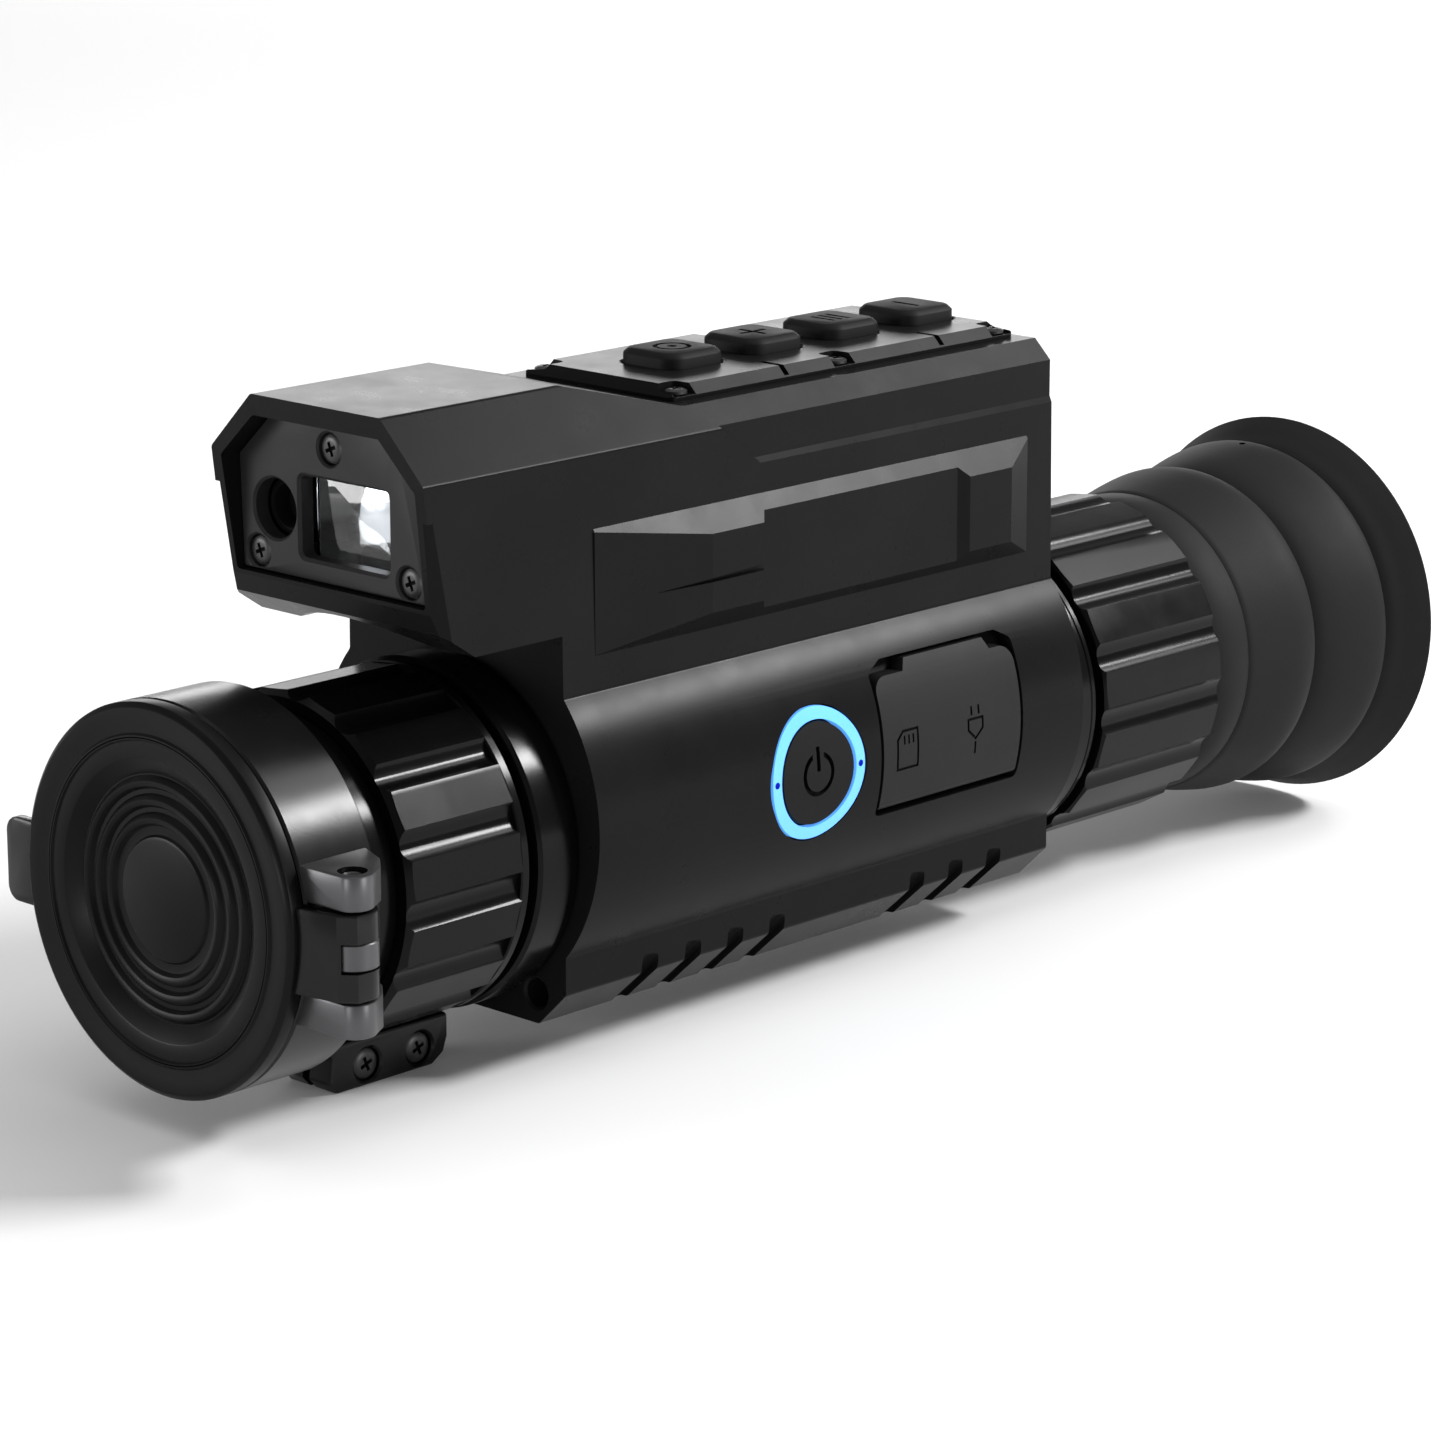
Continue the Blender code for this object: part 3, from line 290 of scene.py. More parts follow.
def spread(nodes, links, source, low, high, out_low, out_high):
    """Maps a noise value from low..high to out_low..out_high."""
    node = nodes.new("ShaderNodeMapRange")
    settle(node, {"From Min": low, "From Max": high, "To Min": out_low, "To Max": out_high})
    links.new(source.outputs["Fac"], node.inputs["Value"])
    return node


def finish(name, dark, light, rough, grain, grain_depth, metallic=0.0, specular=0.5, cloud=45.0,
           rough_spread=0.025, sheen=0.0):
    """A finish with clouded colour, uneven gloss and a fine grain.

    dark and light are the two ends of its colour, grain the grain's cycles per metre and
    grain_depth its height in metres.
    """
    mat, nodes, links = new_material(name)
    shader = nodes["Principled BSDF"]
    settle(shader, {"Metallic": metallic, "Specular IOR Level": specular, "Sheen Weight": sheen})
    coords = nodes.new("ShaderNodeTexCoord")
    clouds = noise(nodes, links, coords, cloud)
    mix = nodes.new("ShaderNodeMix")
    mix.data_type = 'RGBA'
    settle(mix, {"A": (*dark, 1.0), "B": (*light, 1.0)})
    links.new(spread(nodes, links, clouds, 0.35, 0.65, 0.0, 1.0).outputs["Result"], mix.inputs["Factor"])
    links.new(mix.outputs["Result"], shader.inputs["Base Color"])
    smears = noise(nodes, links, coords, cloud * 3.1, 4.0, 0.6)
    gloss = spread(nodes, links, smears, 0.3, 0.7, rough - rough_spread, rough + rough_spread)
    links.new(gloss.outputs["Result"], shader.inputs["Roughness"])
    fine = noise(nodes, links, coords, grain, 2.0, 0.6)
    bump = nodes.new("ShaderNodeBump")
    settle(bump, {"Strength": 1.0, "Distance": grain_depth})
    links.new(fine.outputs["Fac"], bump.inputs["Height"])
    links.new(bump.outputs["Normal"], shader.inputs["Normal"])
    return mat


def turned_finish(name, dark, light, rough, specular):
    """A turned finish: fine rings round the optical axis under the same satin grain."""
    mat = finish(name, dark, light, rough, 2600.0, 0.000003, 0.0, specular)
    nodes, links = mat.node_tree.nodes, mat.node_tree.links
    shader = nodes["Principled BSDF"]
    coords = nodes["Texture Coordinate"]
    rings = nodes.new("ShaderNodeTexWave")
    rings.wave_type = 'RINGS'
    rings.rings_direction = 'Y'
    settle(rings, {"Scale": 900.0, "Distortion": 0.4})
    place = nodes.new("ShaderNodeVectorMath")
    place.operation = 'SUBTRACT'
    place.inputs[1].default_value = (0.0, 0.0, AXIS_Z * MM)
    links.new(coords.outputs["Object"], place.inputs[0])
    links.new(place.outputs["Vector"], rings.inputs["Vector"])
    groove = nodes.new("ShaderNodeBump")
    settle(groove, {"Strength": 0.12, "Distance": 0.000004})
    links.new(rings.outputs["Fac"], groove.inputs["Height"])
    links.new(nodes["Bump"].outputs["Normal"], groove.inputs["Normal"])
    links.new(groove.outputs["Normal"], shader.inputs["Normal"])
    return mat


def lamp_finish(name, colour, strength):
    """A light guide that glows a little unevenly."""
    mat, nodes, links = new_material(name)
    shader = nodes["Principled BSDF"]
    tint = (*colour, 1.0)
    settle(shader, {"Base Color": tint, "Roughness": 0.35, "Emission Color": tint})
    coords = nodes.new("ShaderNodeTexCoord")
    uneven = noise(nodes, links, coords, 160.0)
    glow = spread(nodes, links, uneven, 0.3, 0.7, strength * 0.92, strength * 1.05)
    links.new(glow.outputs["Result"], shader.inputs["Emission Strength"])
    return mat


def glass_finish(name, tint):
    """Optical glass with a faint unevenness in its polish."""
    mat, nodes, links = new_material(name)
    shader = nodes["Principled BSDF"]
    settle(shader, {"Base Color": (*tint, 1.0), "Transmission Weight": 1.0, "IOR": 1.5})
    coords = nodes.new("ShaderNodeTexCoord")
    smears = noise(nodes, links, coords, 90.0)
    gloss = spread(nodes, links, smears, 0.3, 0.7, 0.02, 0.05)
    links.new(gloss.outputs["Result"], shader.inputs["Roughness"])
    return mat


MATERIALS = {
    "anodised": finish("satin_anodised", (0.0072, 0.0068, 0.0073), (0.0088, 0.0083, 0.0089), 0.29,
                       3200.0, 0.000003, 0.0, 0.055),
    "turned": turned_finish("turned_anodised", (0.0022, 0.0021, 0.0023), (0.0032, 0.0030, 0.0033),
                            0.20, 0.12),
    "cap_metal": turned_finish("smooth_cap_metal", (0.0040, 0.0038, 0.0041), (0.0055, 0.0052, 0.0056),
                               0.25, 0.22),
    "hinge_metal": finish("hinge_metal", (0.085, 0.083, 0.087), (0.105, 0.102, 0.107), 0.36,
                          2600.0, 0.000004, 0.75, 0.5),
    "plate": finish("plate_paint", (0.0200, 0.0193, 0.0204), (0.0235, 0.0227, 0.0240), 0.40,
                    2800.0, 0.000004, 0.0, 0.12),
    # Painted shade: a darker copy of the cap metal for the lid's face, standing in for shade on it, with a
    # duller gloss.
    "lid_shade": turned_finish("shaded_lid_copy", (0.0030, 0.0028, 0.0031), (0.0040, 0.0038, 0.0041),
                              0.33, 0.10),
    "steel": finish("plain_steel", (0.24, 0.24, 0.25), (0.34, 0.34, 0.35), 0.32, 2400.0, 0.000004, 1.0),
    "dark_steel": finish("blackened_steel", (0.020, 0.020, 0.021), (0.034, 0.033, 0.035), 0.36,
                         2600.0, 0.000004, 0.4),
    "rubber": finish("eyecup_rubber", (0.0085, 0.0082, 0.0090), (0.0108, 0.0104, 0.0114), 0.62,
                     2200.0, 0.000014, 0.0, 0.12, sheen=0.02),
    "port_rubber": finish("port_cover_rubber", (0.0050, 0.0048, 0.0052), (0.0068, 0.0066, 0.0070), 0.55,
                          2400.0, 0.000010, 0.0, 0.22),
    "key_rubber": finish("key_rubber", (0.0055, 0.0054, 0.0057), (0.0075, 0.0073, 0.0077), 0.58,
                         2400.0, 0.000010, 0.0, 0.12),
    # Painted shade: a darker colour for the walls of grooves, slits, screw recesses and the eyecup vent, and
    # for the emitter tube, standing in for the shade in them.
    "recess_shade": finish("painted_recess_shade", (0.0020, 0.0020, 0.0022), (0.0035, 0.0035, 0.0038), 0.75,
                        2000.0, 0.000006, 0.0, 0.1),
    "led": lamp_finish("lit_light_guide", (0.10, 0.36, 0.94), 0.85),
    "led_dot": lamp_finish("light_guide_post", (0.01, 0.02, 0.45), 0.6),
    "glass": glass_finish("window_glass", (0.90, 0.93, 0.95)),
    "lens": finish("coated_lens", (0.86, 0.86, 0.88), (0.90, 0.90, 0.92), 0.10, 900.0, 0.0, 1.0,
                   rough_spread=0.02),
    "eye_glass": finish("coated_eye_glass", (0.006, 0.008, 0.016), (0.010, 0.012, 0.022), 0.08, 900.0,
                        0.0, 0.0, 0.9, rough_spread=0.02),
    "germanium": finish("coated_germanium", (0.10, 0.055, 0.05), (0.13, 0.075, 0.07), 0.08, 900.0, 0.0,
                        0.9, rough_spread=0.02),
    "black_plastic": finish("moulded_plastic", (0.012, 0.012, 0.012), (0.018, 0.018, 0.018), 0.5,
                            1800.0, 0.000010),
    "board": finish("circuit_board", (0.012, 0.085, 0.035), (0.020, 0.12, 0.05), 0.38, 700.0, 0.000030),
    "cell": finish("cell_sleeve", (0.03, 0.10, 0.30), (0.05, 0.15, 0.40), 0.35, 600.0, 0.000008),
}


# ---------------------------------------------------------------- shape helpers
AXES = {
    "X": Matrix(((0, 0, 1, 0), (1, 0, 0, 0), (0, 1, 0, 0), (0, 0, 0, 1))),
    "Y": Matrix(((1, 0, 0, 0), (0, 0, -1, 0), (0, 1, 0, 0), (0, 0, 0, 1))),
    "Z": Matrix.Identity(4),
}
TURNS = {
    "X": Matrix.Rotation(math.radians(90), 4, 'Y'),
    "Y": Matrix.Rotation(math.radians(-90), 4, 'X'),
    "Z": Matrix.Identity(4),
}


def place_mesh(mesh, material=None):
    """A mesh as an object of the scene."""
    obj = bpy.data.objects.new(mesh.name, mesh)
    bpy.context.scene.collection.objects.link(obj)
    if material:
        mesh.materials.clear()
        mesh.materials.append(MATERIALS[material])
    return obj


def from_bmesh(bm, name, material=None):
    """Turns a bmesh into an object, its faces turned outwards."""
    bmesh.ops.recalc_face_normals(bm, faces=bm.faces)
    mesh = bpy.data.meshes.new(name)
    bm.to_mesh(mesh)
    bm.free()
    return place_mesh(mesh, material)


def bake(obj):
    """Applies an object's modifiers."""
    bpy.context.view_layer.update()
    graph = bpy.context.evaluated_depsgraph_get()
    mesh = bpy.data.meshes.new_from_object(obj.evaluated_get(graph))
    old = obj.data
    obj.modifiers.clear()
    obj.data = mesh
    bpy.data.meshes.remove(old)
    return obj


def remove(obj):
    """Deletes an object and its mesh."""
    mesh = obj.data
    bpy.data.objects.remove(obj, do_unlink=True)
    bpy.data.meshes.remove(mesh)


def join(pieces):
    """Disjoint solids as one mesh."""
    bm = bmesh.new()
    materials = []
    for piece in pieces:
        offset = len(materials)
        materials += list(piece.data.materials)
        before = len(bm.faces)
        bm.from_mesh(piece.data)
        bm.faces.ensure_lookup_table()
        for face in bm.faces[before:]:
            face.material_index += offset
    mesh = bpy.data.meshes.new(pieces[0].name)
    bm.to_mesh(mesh)
    bm.free()
    for piece in pieces:
        remove(piece)
    obj = place_mesh(mesh)
    for material in materials:
        mesh.materials.append(material)
    return obj


def boolean(obj, others, operation='DIFFERENCE'):
    """Cuts, adds or intersects others, one after the other, and removes them."""
    for other in others:
        mod = obj.modifiers.new("Shape", 'BOOLEAN')
        mod.operation = operation
        mod.solver = 'EXACT'
        mod.material_mode = 'TRANSFER'
        mod.object = other
        bake(obj)
        remove(other)
    return obj


def drill(obj, cutters):
    """Cuts disjoint cutters in one go."""
    boolean(obj, [join(cutters)])


def round_edges(obj, width):
    """Rounds the edges that turn by more than 60 degrees."""
    mod = obj.modifiers.new("Edges", 'BEVEL')
    mod.width = width * MM
    mod.segments = 2
    mod.limit_method = 'ANGLE'
    mod.angle_limit = math.radians(60)
    return bake(obj)


def box(x, y, z, material=None):
    """A box between the given limits, each a pair."""
    bm = bmesh.new()
    bmesh.ops.create_cube(bm, size=1.0)
    bmesh.ops.scale(bm, vec=Vector((x[1] - x[0], y[1] - y[0], z[1] - z[0])) * MM, verts=bm.verts)
    middle = Vector((x[0] + x[1], y[0] + y[1], z[0] + z[1])) / 2 * MM
    bmesh.ops.translate(bm, vec=middle, verts=bm.verts)
    return from_bmesh(bm, "box", material)


def prism(points, axis, lo, hi, material=None):
    """An outline extruded along an axis: points are (y, z) for X, (x, z) for Y and (x, y) for Z."""
    bm = bmesh.new()
    rings = []
    for place in (lo, hi):
        rings.append([bm.verts.new((u * MM, v * MM, (place if axis != "Y" else -place) * MM))
                      for u, v in points])
    bm.faces.new(rings[0])
    bm.faces.new(rings[1])
    for i in range(len(points)):
        j = (i + 1) % len(points)
        bm.faces.new((rings[0][i], rings[0][j], rings[1][j], rings[1][i]))
    bm.transform(AXES[axis])
    return from_bmesh(bm, "prism", material)


def loft(sections, material=None):
    """A closed solid through sections of equal length, each a list of (x, y, z)."""
    bm = bmesh.new()
    rings = [[bm.verts.new(Vector(p) * MM) for p in section] for section in sections]
    bm.faces.new(rings[0])
    bm.faces.new(rings[-1])
    for one, other in zip(rings, rings[1:]):
        for i in range(len(one)):
            j = (i + 1) % len(one)
            bm.faces.new((one[i], one[j], other[j], other[i]))
    return from_bmesh(bm, "loft", material)


def turned(profile, centre=(0.0, 0.0, AXIS_Z), axis="Y", steps=FINE, material=None):
    """A turned piece. profile holds (place along the axis, radius); a ring when no radius is 0."""
    bm = bmesh.new()
    rings = []
    for along, radius in profile:
        if radius == 0:
            rings.append([bm.verts.new((0.0, 0.0, along * MM))])
            continue
        ring = []
        for i in range(steps):
            t = math.tau * i / steps
            ring.append(bm.verts.new((radius * MM * math.cos(t), radius * MM * math.sin(t), along * MM)))
        rings.append(ring)
    for one, other in zip(rings, rings[1:] + rings[:1]):
        if len(one) == 1 and len(other) == 1:
            continue
        for i in range(steps):
            j = (i + 1) % steps
            if len(one) == 1:
                bm.faces.new((one[0], other[i], other[j]))
            elif len(other) == 1:
                bm.faces.new((one[i], other[0], one[j]))
            else:
                bm.faces.new((one[i], other[i], other[j], one[j]))
    bm.transform(Matrix.Translation(Vector(centre) * MM) @ TURNS[axis])
    return from_bmesh(bm, "turned", material)


def rod(centre, axis, lo, hi, radius, steps=COARSE, material=None):
    """A cylinder along an axis through centre, between lo and hi along that axis."""
    place = list(centre)
    place["XYZ".index(axis)] = 0.0
    return turned([(hi, 0), (hi, radius), (lo, radius), (lo, 0)], place, axis, steps, material)


def pit(centre, axis, face, out, depth, radius, chamfer, steps=COARSE):
    """A cutter for a round hole with a chamfered mouth. face is the surface, out the sign of its normal."""
    place = list(centre)
    place["XYZ".index(axis)] = 0.0
    profile = [(face + out, 0), (face + out, radius + chamfer + 1.0), (face, radius + chamfer),
               (face - chamfer * out, radius), (face - depth * out, radius), (face - depth * out, 0)]
    return turned(profile, place, axis, steps)


def move(obj, matrix):
    """Moves the mesh itself and leaves the object at the origin."""
    obj.data.transform(matrix)
    return obj


def arc(cx, cy, radius, start, end, count):
    """Points on an arc, angles in degrees."""
    out = []
    for i in range(count + 1):
        t = math.radians(start + (end - start) * i / count)
        out.append((cx + radius * math.cos(t), cy + radius * math.sin(t)))
    return out


def mirrored(half):
    """A closed outline from its +X half, listed from bottom to top."""
    return half + [(-x, z) for x, z in reversed(half)]


def rounded_rect(x0, x1, y0, y1, radius, count=6):
    """A rectangle with rounded corners, counter-clockwise."""
    return (arc(x1 - radius, y1 - radius, radius, 0, 90, count)
            + arc(x0 + radius, y1 - radius, radius, 90, 180, count)
            + arc(x0 + radius, y0 + radius, radius, 180, 270, count)
            + arc(x1 - radius, y0 + radius, radius, 270, 360, count))


def softened(points, radius, limit=18.0):
    """The outline with its corners sharper than limit degrees rounded off."""
    out = []
    for i, here in enumerate(points):
        before = Vector(points[i - 1]) - Vector(here)
        after = Vector(points[(i + 1) % len(points)]) - Vector(here)
        if min(before.length, after.length) < 1e-6:
            continue
        turn = 180.0 - math.degrees(before.angle(after))
        if turn < limit:
            out.append(here)
            continue
        reach = min(radius * math.tan(math.radians(turn / 2)), before.length * 0.4, after.length * 0.4)
        start = Vector(here) + before.normalized() * reach
        end = Vector(here) + after.normalized() * reach
        for t in (0.0, 0.25, 0.5, 0.75, 1.0):
            p = start.lerp(Vector(here), t).lerp(Vector(here).lerp(end, t), t)
            out.append((p.x, p.y))
    return out


def show(obj, name, material, body, nodes, angle=30):
    """Names a finished piece, gives it its look and puts it in place of its CAD nodes."""
    obj.name = name
    obj.data.name = name
    if not obj.data.materials:
        obj.data.materials.append(MATERIALS[material])
    for i, old in enumerate(obj.data.materials):
        if old is None:
            obj.data.materials[i] = MATERIALS[material]
    obj.data.shade_smooth()
    obj.data.set_sharp_from_angle(angle=math.radians(angle))
    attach(obj, body)
    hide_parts(*nodes)


# ---------------------------------------------------------------- housing
def housing_half(inset):
    """The housing's cross-section on +X, from the underside to the shoulder, shrunk by inset."""
    lower = [(BASE_HALF - inset / 2, inset), (SIDE_HALF - inset, BASE_CHAMFER_TOP + inset / 2)]
    radius = BULGE_R - inset
    angle = math.degrees(math.acos((SIDE_HALF - inset) / radius))
    round_side = arc(0, BULGE_Z, radius, -angle, angle, 32)
    return lower + round_side + [(SHOULDER_HALF - inset, SHOULDER_Z - inset / 2)]


def cover_outline(inset):
    """The rear cover's outline, a fixed distance inside the housing's."""
    return mirrored(housing_half(inset) + [(DECK_HALF - 1.0 - inset, DECK_Z - inset)])


def plate_outline(grow):
    """The outline of the rangefinder's front plate, grown by grow."""
    half = [(18.6 + grow, PLATE_FLOOR - grow), (19.1 + grow, PLATE_SHOULDER + grow / 2),
            (12.4 + grow / 2, PLATE_TOP + grow)]
    return mirrored(half)


def side_slab(side):
    """The raised slab on a side wall, bounded above and below by sloped ledges."""
    inside = SIDE_HALF - 1.0
    sections = []
    for y, height in SLAB_STATIONS:
        outside = SIDE_HALF + height
        top = SLAB_TOP - LEDGE_SLOPE * height
        bottom = SLAB_BOTTOM + UNDERCUT_SLOPE * height
        sections.append([(side * inside, y, SLAB_BOTTOM - UNDERCUT_SLOPE),
                         (side * inside, y, SLAB_TOP + LEDGE_SLOPE),
                         (side * outside, y, top), (side * outside, y, bottom)])
    return loft(sections)


def shoulder_relief(side):
    """Takes the upper strip of a side wall in a little, with a sloped strip along its foot."""
    outside = 24.0
    outline = [(-13.2, 75.25), (60.0, 75.45), (60.0, 81.0), (-20.6, 81.0)]
    upper = prism(outline, "X", *sorted((side * RELIEF_X, side * outside)))
    foot = [[(side * RELIEF_X, y, 75.3), (side * 21.8, y + 2.6, 73.3), (side * outside, y + 2.6, 73.3),
             (side * outside, y, 75.5), (side * RELIEF_X, y, 75.5)] for y in (RELIEF_FRONT, 60.0)]
    return [upper, loft(foot)]


def front_chamfer(side):
    """A long chamfer down the lower half of the hood's front corner."""
    rake = (HOOD_LIP_Y - HOOD_FRONT) / (HOOD_RAKE_Z - HOOD_LIP_Z)
    outside = SIDE_HALF + 4
    sections = []
    for z, wide in ((58.0, 2.0), (75.4, 1.3)):
        inside = SIDE_HALF - wide
        front = HOOD_FRONT + (HOOD_RAKE_Z - z) * rake
        sections.append([(side * inside, front - 0.05, z), (side * (SIDE_HALF + 0.5), front + wide + 0.5, z),
                         (side * outside, front + wide, z), (side * outside, front - 4, z),
                         (side * inside, front - 4, z)])
    return loft(sections)


def side_sliver(side):
    """A narrow wedge cut into the slab's sloping front part."""
    sections = []
    for y, height, depth, low, high in SLIT:
        inner = side * (SIDE_HALF + height - depth)
        outer = side * (SIDE_HALF + height + 1.5)
        sections.append([(inner, y, low), (inner, y, high - 0.1), (outer, y, high + 0.1), (outer, y, low)])
    return loft(sections)


def base_slots():
    """Seven slots across each bottom corner."""
    limits = [(-size / 2, size / 2) for size in SLOT_SIZE]
    x, z = SLOT_PLACE
    lean = Matrix.Rotation(math.radians(SLOT_LEAN), 4, 'X')
    pieces = []
    for side in (-1, 1):
        tilt = Matrix.Rotation(side * math.radians(SLOT_TILT), 4, 'Y')
        for start, count in SLOT_ROWS:
            for i in range(count):
                slot = round_edges(box(*limits), 0.5)
                place = Vector((side * x, start + i * SLOT_PITCH + 0.5, z)) * MM
                move(slot, Matrix.Translation(place) @ lean @ tilt)
                pieces.append(slot)
    return join(pieces)


def port_outline(grow, bottom):
    """The port cover's outline (y, z): a plate with rounded corners and a finger tab on top."""
    y0, y1 = PORT_Y[0] - grow, PORT_Y[1] + grow
    top = PORT_TOP + grow
    shelf = top - 1.7
    return ([(y0, bottom), (y1, bottom)] + arc(y1 - 2.5, shelf - 2.5, 2.5, 0, 90, 8)
            + [(y1 - 4.6, shelf), (y1 - 5.4, top), (y0 + 7.6, top), (y0 + 6.6, shelf)]
            + arc(y0 + 2.5, shelf - 2.5, 2.5, 90, 180, 8))


def flank(radius, lo, hi):
    """A cylinder on the flank's centre, for pieces that follow the flank."""
    return rod((0, 0, BULGE_Z), "Y", lo, hi, radius, 192)


def make_housing():
    """The housing: outer form, chambers, seats and holes."""
    outline = softened(mirrored(housing_half(0) + [(HOOD_HALF, HOOD_TOP)]), 0.8)
    body = prism(outline, "Y", HOOD_FRONT, BODY_REAR)
    far = HOOD_FRONT - 20
    front = prism([(far, -5), (BODY_FRONT, -5), (BODY_FRONT, HOOD_UNDER_Z), (-67.8, HOOD_UNDER_Z),
                   (-73.2, 59.8), (HOOD_LIP_Y, HOOD_LIP_Z), (HOOD_FRONT, HOOD_RAKE_Z),
                   (HOOD_FRONT, 95.0), (far, 95.0)], "X", -REACH, REACH)
    arch = rod((0, 0, AXIS_Z), "Y", HOOD_FRONT - 5, BODY_FRONT, ARCH_R, FINE)
    slope = (HOOD_TOP - DECK_Z) / (RAMP_REAR - RAMP_FRONT)
    deck = prism([(RAMP_FRONT - 4, HOOD_TOP + 4 * slope), (RAMP_REAR, DECK_Z), (60, DECK_Z), (60, 95),
                  (RAMP_FRONT - 4, 95)], "X", -REACH, REACH)
    boolean(body, [front, arch, deck])
    boolean(body, shoulder_relief(1) + shoulder_relief(-1))
    boolean(body, [side_slab(1), side_slab(-1)], 'UNION')
    boolean(body, [front_chamfer(1), front_chamfer(-1), side_sliver(1), side_sliver(-1)])
    clean_faces(body)
    inner_end = BODY_REAR - COVER_DEPTH + 1
    chamber = rod((0, 0, BULGE_Z), "Y", BODY_FRONT + FRONT_WALL, inner_end, WALL_R, FINE)
    upper = box((-UPPER_HALF, UPPER_HALF), (BODY_FRONT + FRONT_WALL, inner_end), (40, UPPER_TOP))
    seat = prism(softened(plate_outline(GAP), 0.6), "Y", HOOD_FRONT - 4, PLATE_BACK + GAP)
    hood = box((-16.9, 16.9), (PLATE_BACK - 1, -40), (67.9, 78.6))
    low = box((-7.0, 11.8), (PLATE_BACK - 1, -56), (64.3, 80.3))
    cover_seat = prism(softened(cover_outline(COVER_INSET), 0.5), "Y", BODY_REAR - COVER_DEPTH,
                       BODY_REAR + 2)
    bore = rod((0, 0, AXIS_Z), "Y", BODY_FRONT - 2, BODY_FRONT + FRONT_WALL + 1, FRONT_BORE_R, FINE)
    boolean(body, [chamber, upper, seat, hood, low, cover_seat, bore])
    mouth = BULGE_R + 0.1
    led_seat = pit((0, POWER_Y, POWER_Z), "X", mouth, 1, mouth - POWER_FLOOR_X, LED_OUTER + GAP, 0.35, 128)
    stem = rod((0, POWER_Y, POWER_Z), "X", 18, POWER_FLOOR_X + 1, 4.2, COARSE)
    pocket = prism(softened([
        (PORT_Y[0] - GAP, PORT_PIN_Z - 2.0), (PORT_Y[1] + GAP, PORT_PIN_Z - 2.0),
        (PORT_Y[1] + GAP, PORT_TOP - 1.2), (PORT_Y[1] - 2.6, PORT_TOP + GAP),
        (PORT_Y[0] + 3.0, PORT_TOP + GAP), (PORT_Y[0] - GAP, PORT_TOP - 1.2)], 1.2), "X", 18, 34)
    boolean(pocket, [flank(BULGE_R - PORT_SKIN - GAP, 0, 44)])
    boolean(body, [base_slots(), led_seat, stem, pocket])
    socket = prism(rounded_rect(*USB_ROOM, 1.9), "X", 18, 30)
    card = prism(rounded_rect(*CARD_ROOM, 0.5), "X", 18, 30)
    pin = rod((PORT_PIN_X, 0, PORT_PIN_Z), "Y", PORT_Y[0] - 1.8, PORT_Y[1] + 1.8, 0.75, TINY)
    drill(body, [socket, card, pin])
    drill(body, housing_holes())
    show(body, "housing", "anodised", "scope_body", ["main_housing"],
         HOUSING_SHARP)


def clean_faces(body):
    """Joins the doubled points and the flat facets that the big cuts leave."""
    bm = bmesh.new()
    bm.from_mesh(body.data)
    bmesh.ops.remove_doubles(bm, verts=bm.verts, dist=WELD * MM)
    bmesh.ops.dissolve_limit(bm, angle_limit=math.radians(FLAT_ANGLE), verts=bm.verts, edges=bm.edges)
    bm.to_mesh(body.data)
    bm.free()


def housing_holes():
    """Every small round hole of the housing."""
    holes = []
    front_x, front_z = FRONT_HOLE
    for x in (-front_x, front_x):
        holes.append(pit((x, 0, front_z), "Y", BODY_FRONT, -1, 6, FRONT_HOLE_R, 0.4))
    base_x, base_y = BASE_HOLES
    for x in (-base_x, base_x):
        for y in (-base_y, base_y):
            holes.append(pit((x, y, 0), "Z", 0, -1, BASE_HOLE_DEPTH, BASE_HOLE_R, 0.35))
    for x, z in PLATE_SCREWS.values():
        holes.append(rod((x, 0, z), "Y", PLATE_BACK - 1, PLATE_BACK + 5.5, HOLE_R, TINY))
    for x in (-PANEL_SCREW_X, PANEL_SCREW_X):
        for y in PANEL_SCREW_Y:
            holes.append(rod((x, y, 0), "Z", DECK_Z - 2.6, DECK_Z + 2, PANEL_HOLE_R, TINY))
    for i in range(len(BUTTON_NAMES)):
        y = BUTTON_FIRST_Y + i * BUTTON_PITCH
        holes.append(rod((0, y, 0), "Z", UPPER_TOP - 2, DECK_Z + 2, STEM_R + 0.5, COARSE))
    return holes


def make_rear_cover():
    """The plate that closes the housing behind."""
    outline = cover_outline(COVER_INSET + GAP)
    cover = prism(softened(outline, 0.5), "Y", BODY_REAR - COVER_DEPTH + GAP, BODY_REAR)
    round_edges(cover, 0.35)
    bore = TUBE_R + GAP
    boolean(cover, [turned([(40, 0), (40, bore), (BODY_REAR - 0.5, bore), (BODY_REAR + 0.5, bore + 1),
                            (60, bore + 1), (60, 0)])])
    heads = [pit((x, 0, z), "Y", BODY_REAR, 1, SEAT_DEPTH, SEAT_R, 0.25) for x, z in REAR_SCREWS]
    drill(cover, heads)
    holes = [rod((x, 0, z), "Y", 40, 60, HOLE_R, TINY) for x, z in REAR_SCREWS]
    drill(cover, holes)
    show(cover, "rear_plate", "anodised", "scope_body", ["rear_cover"])


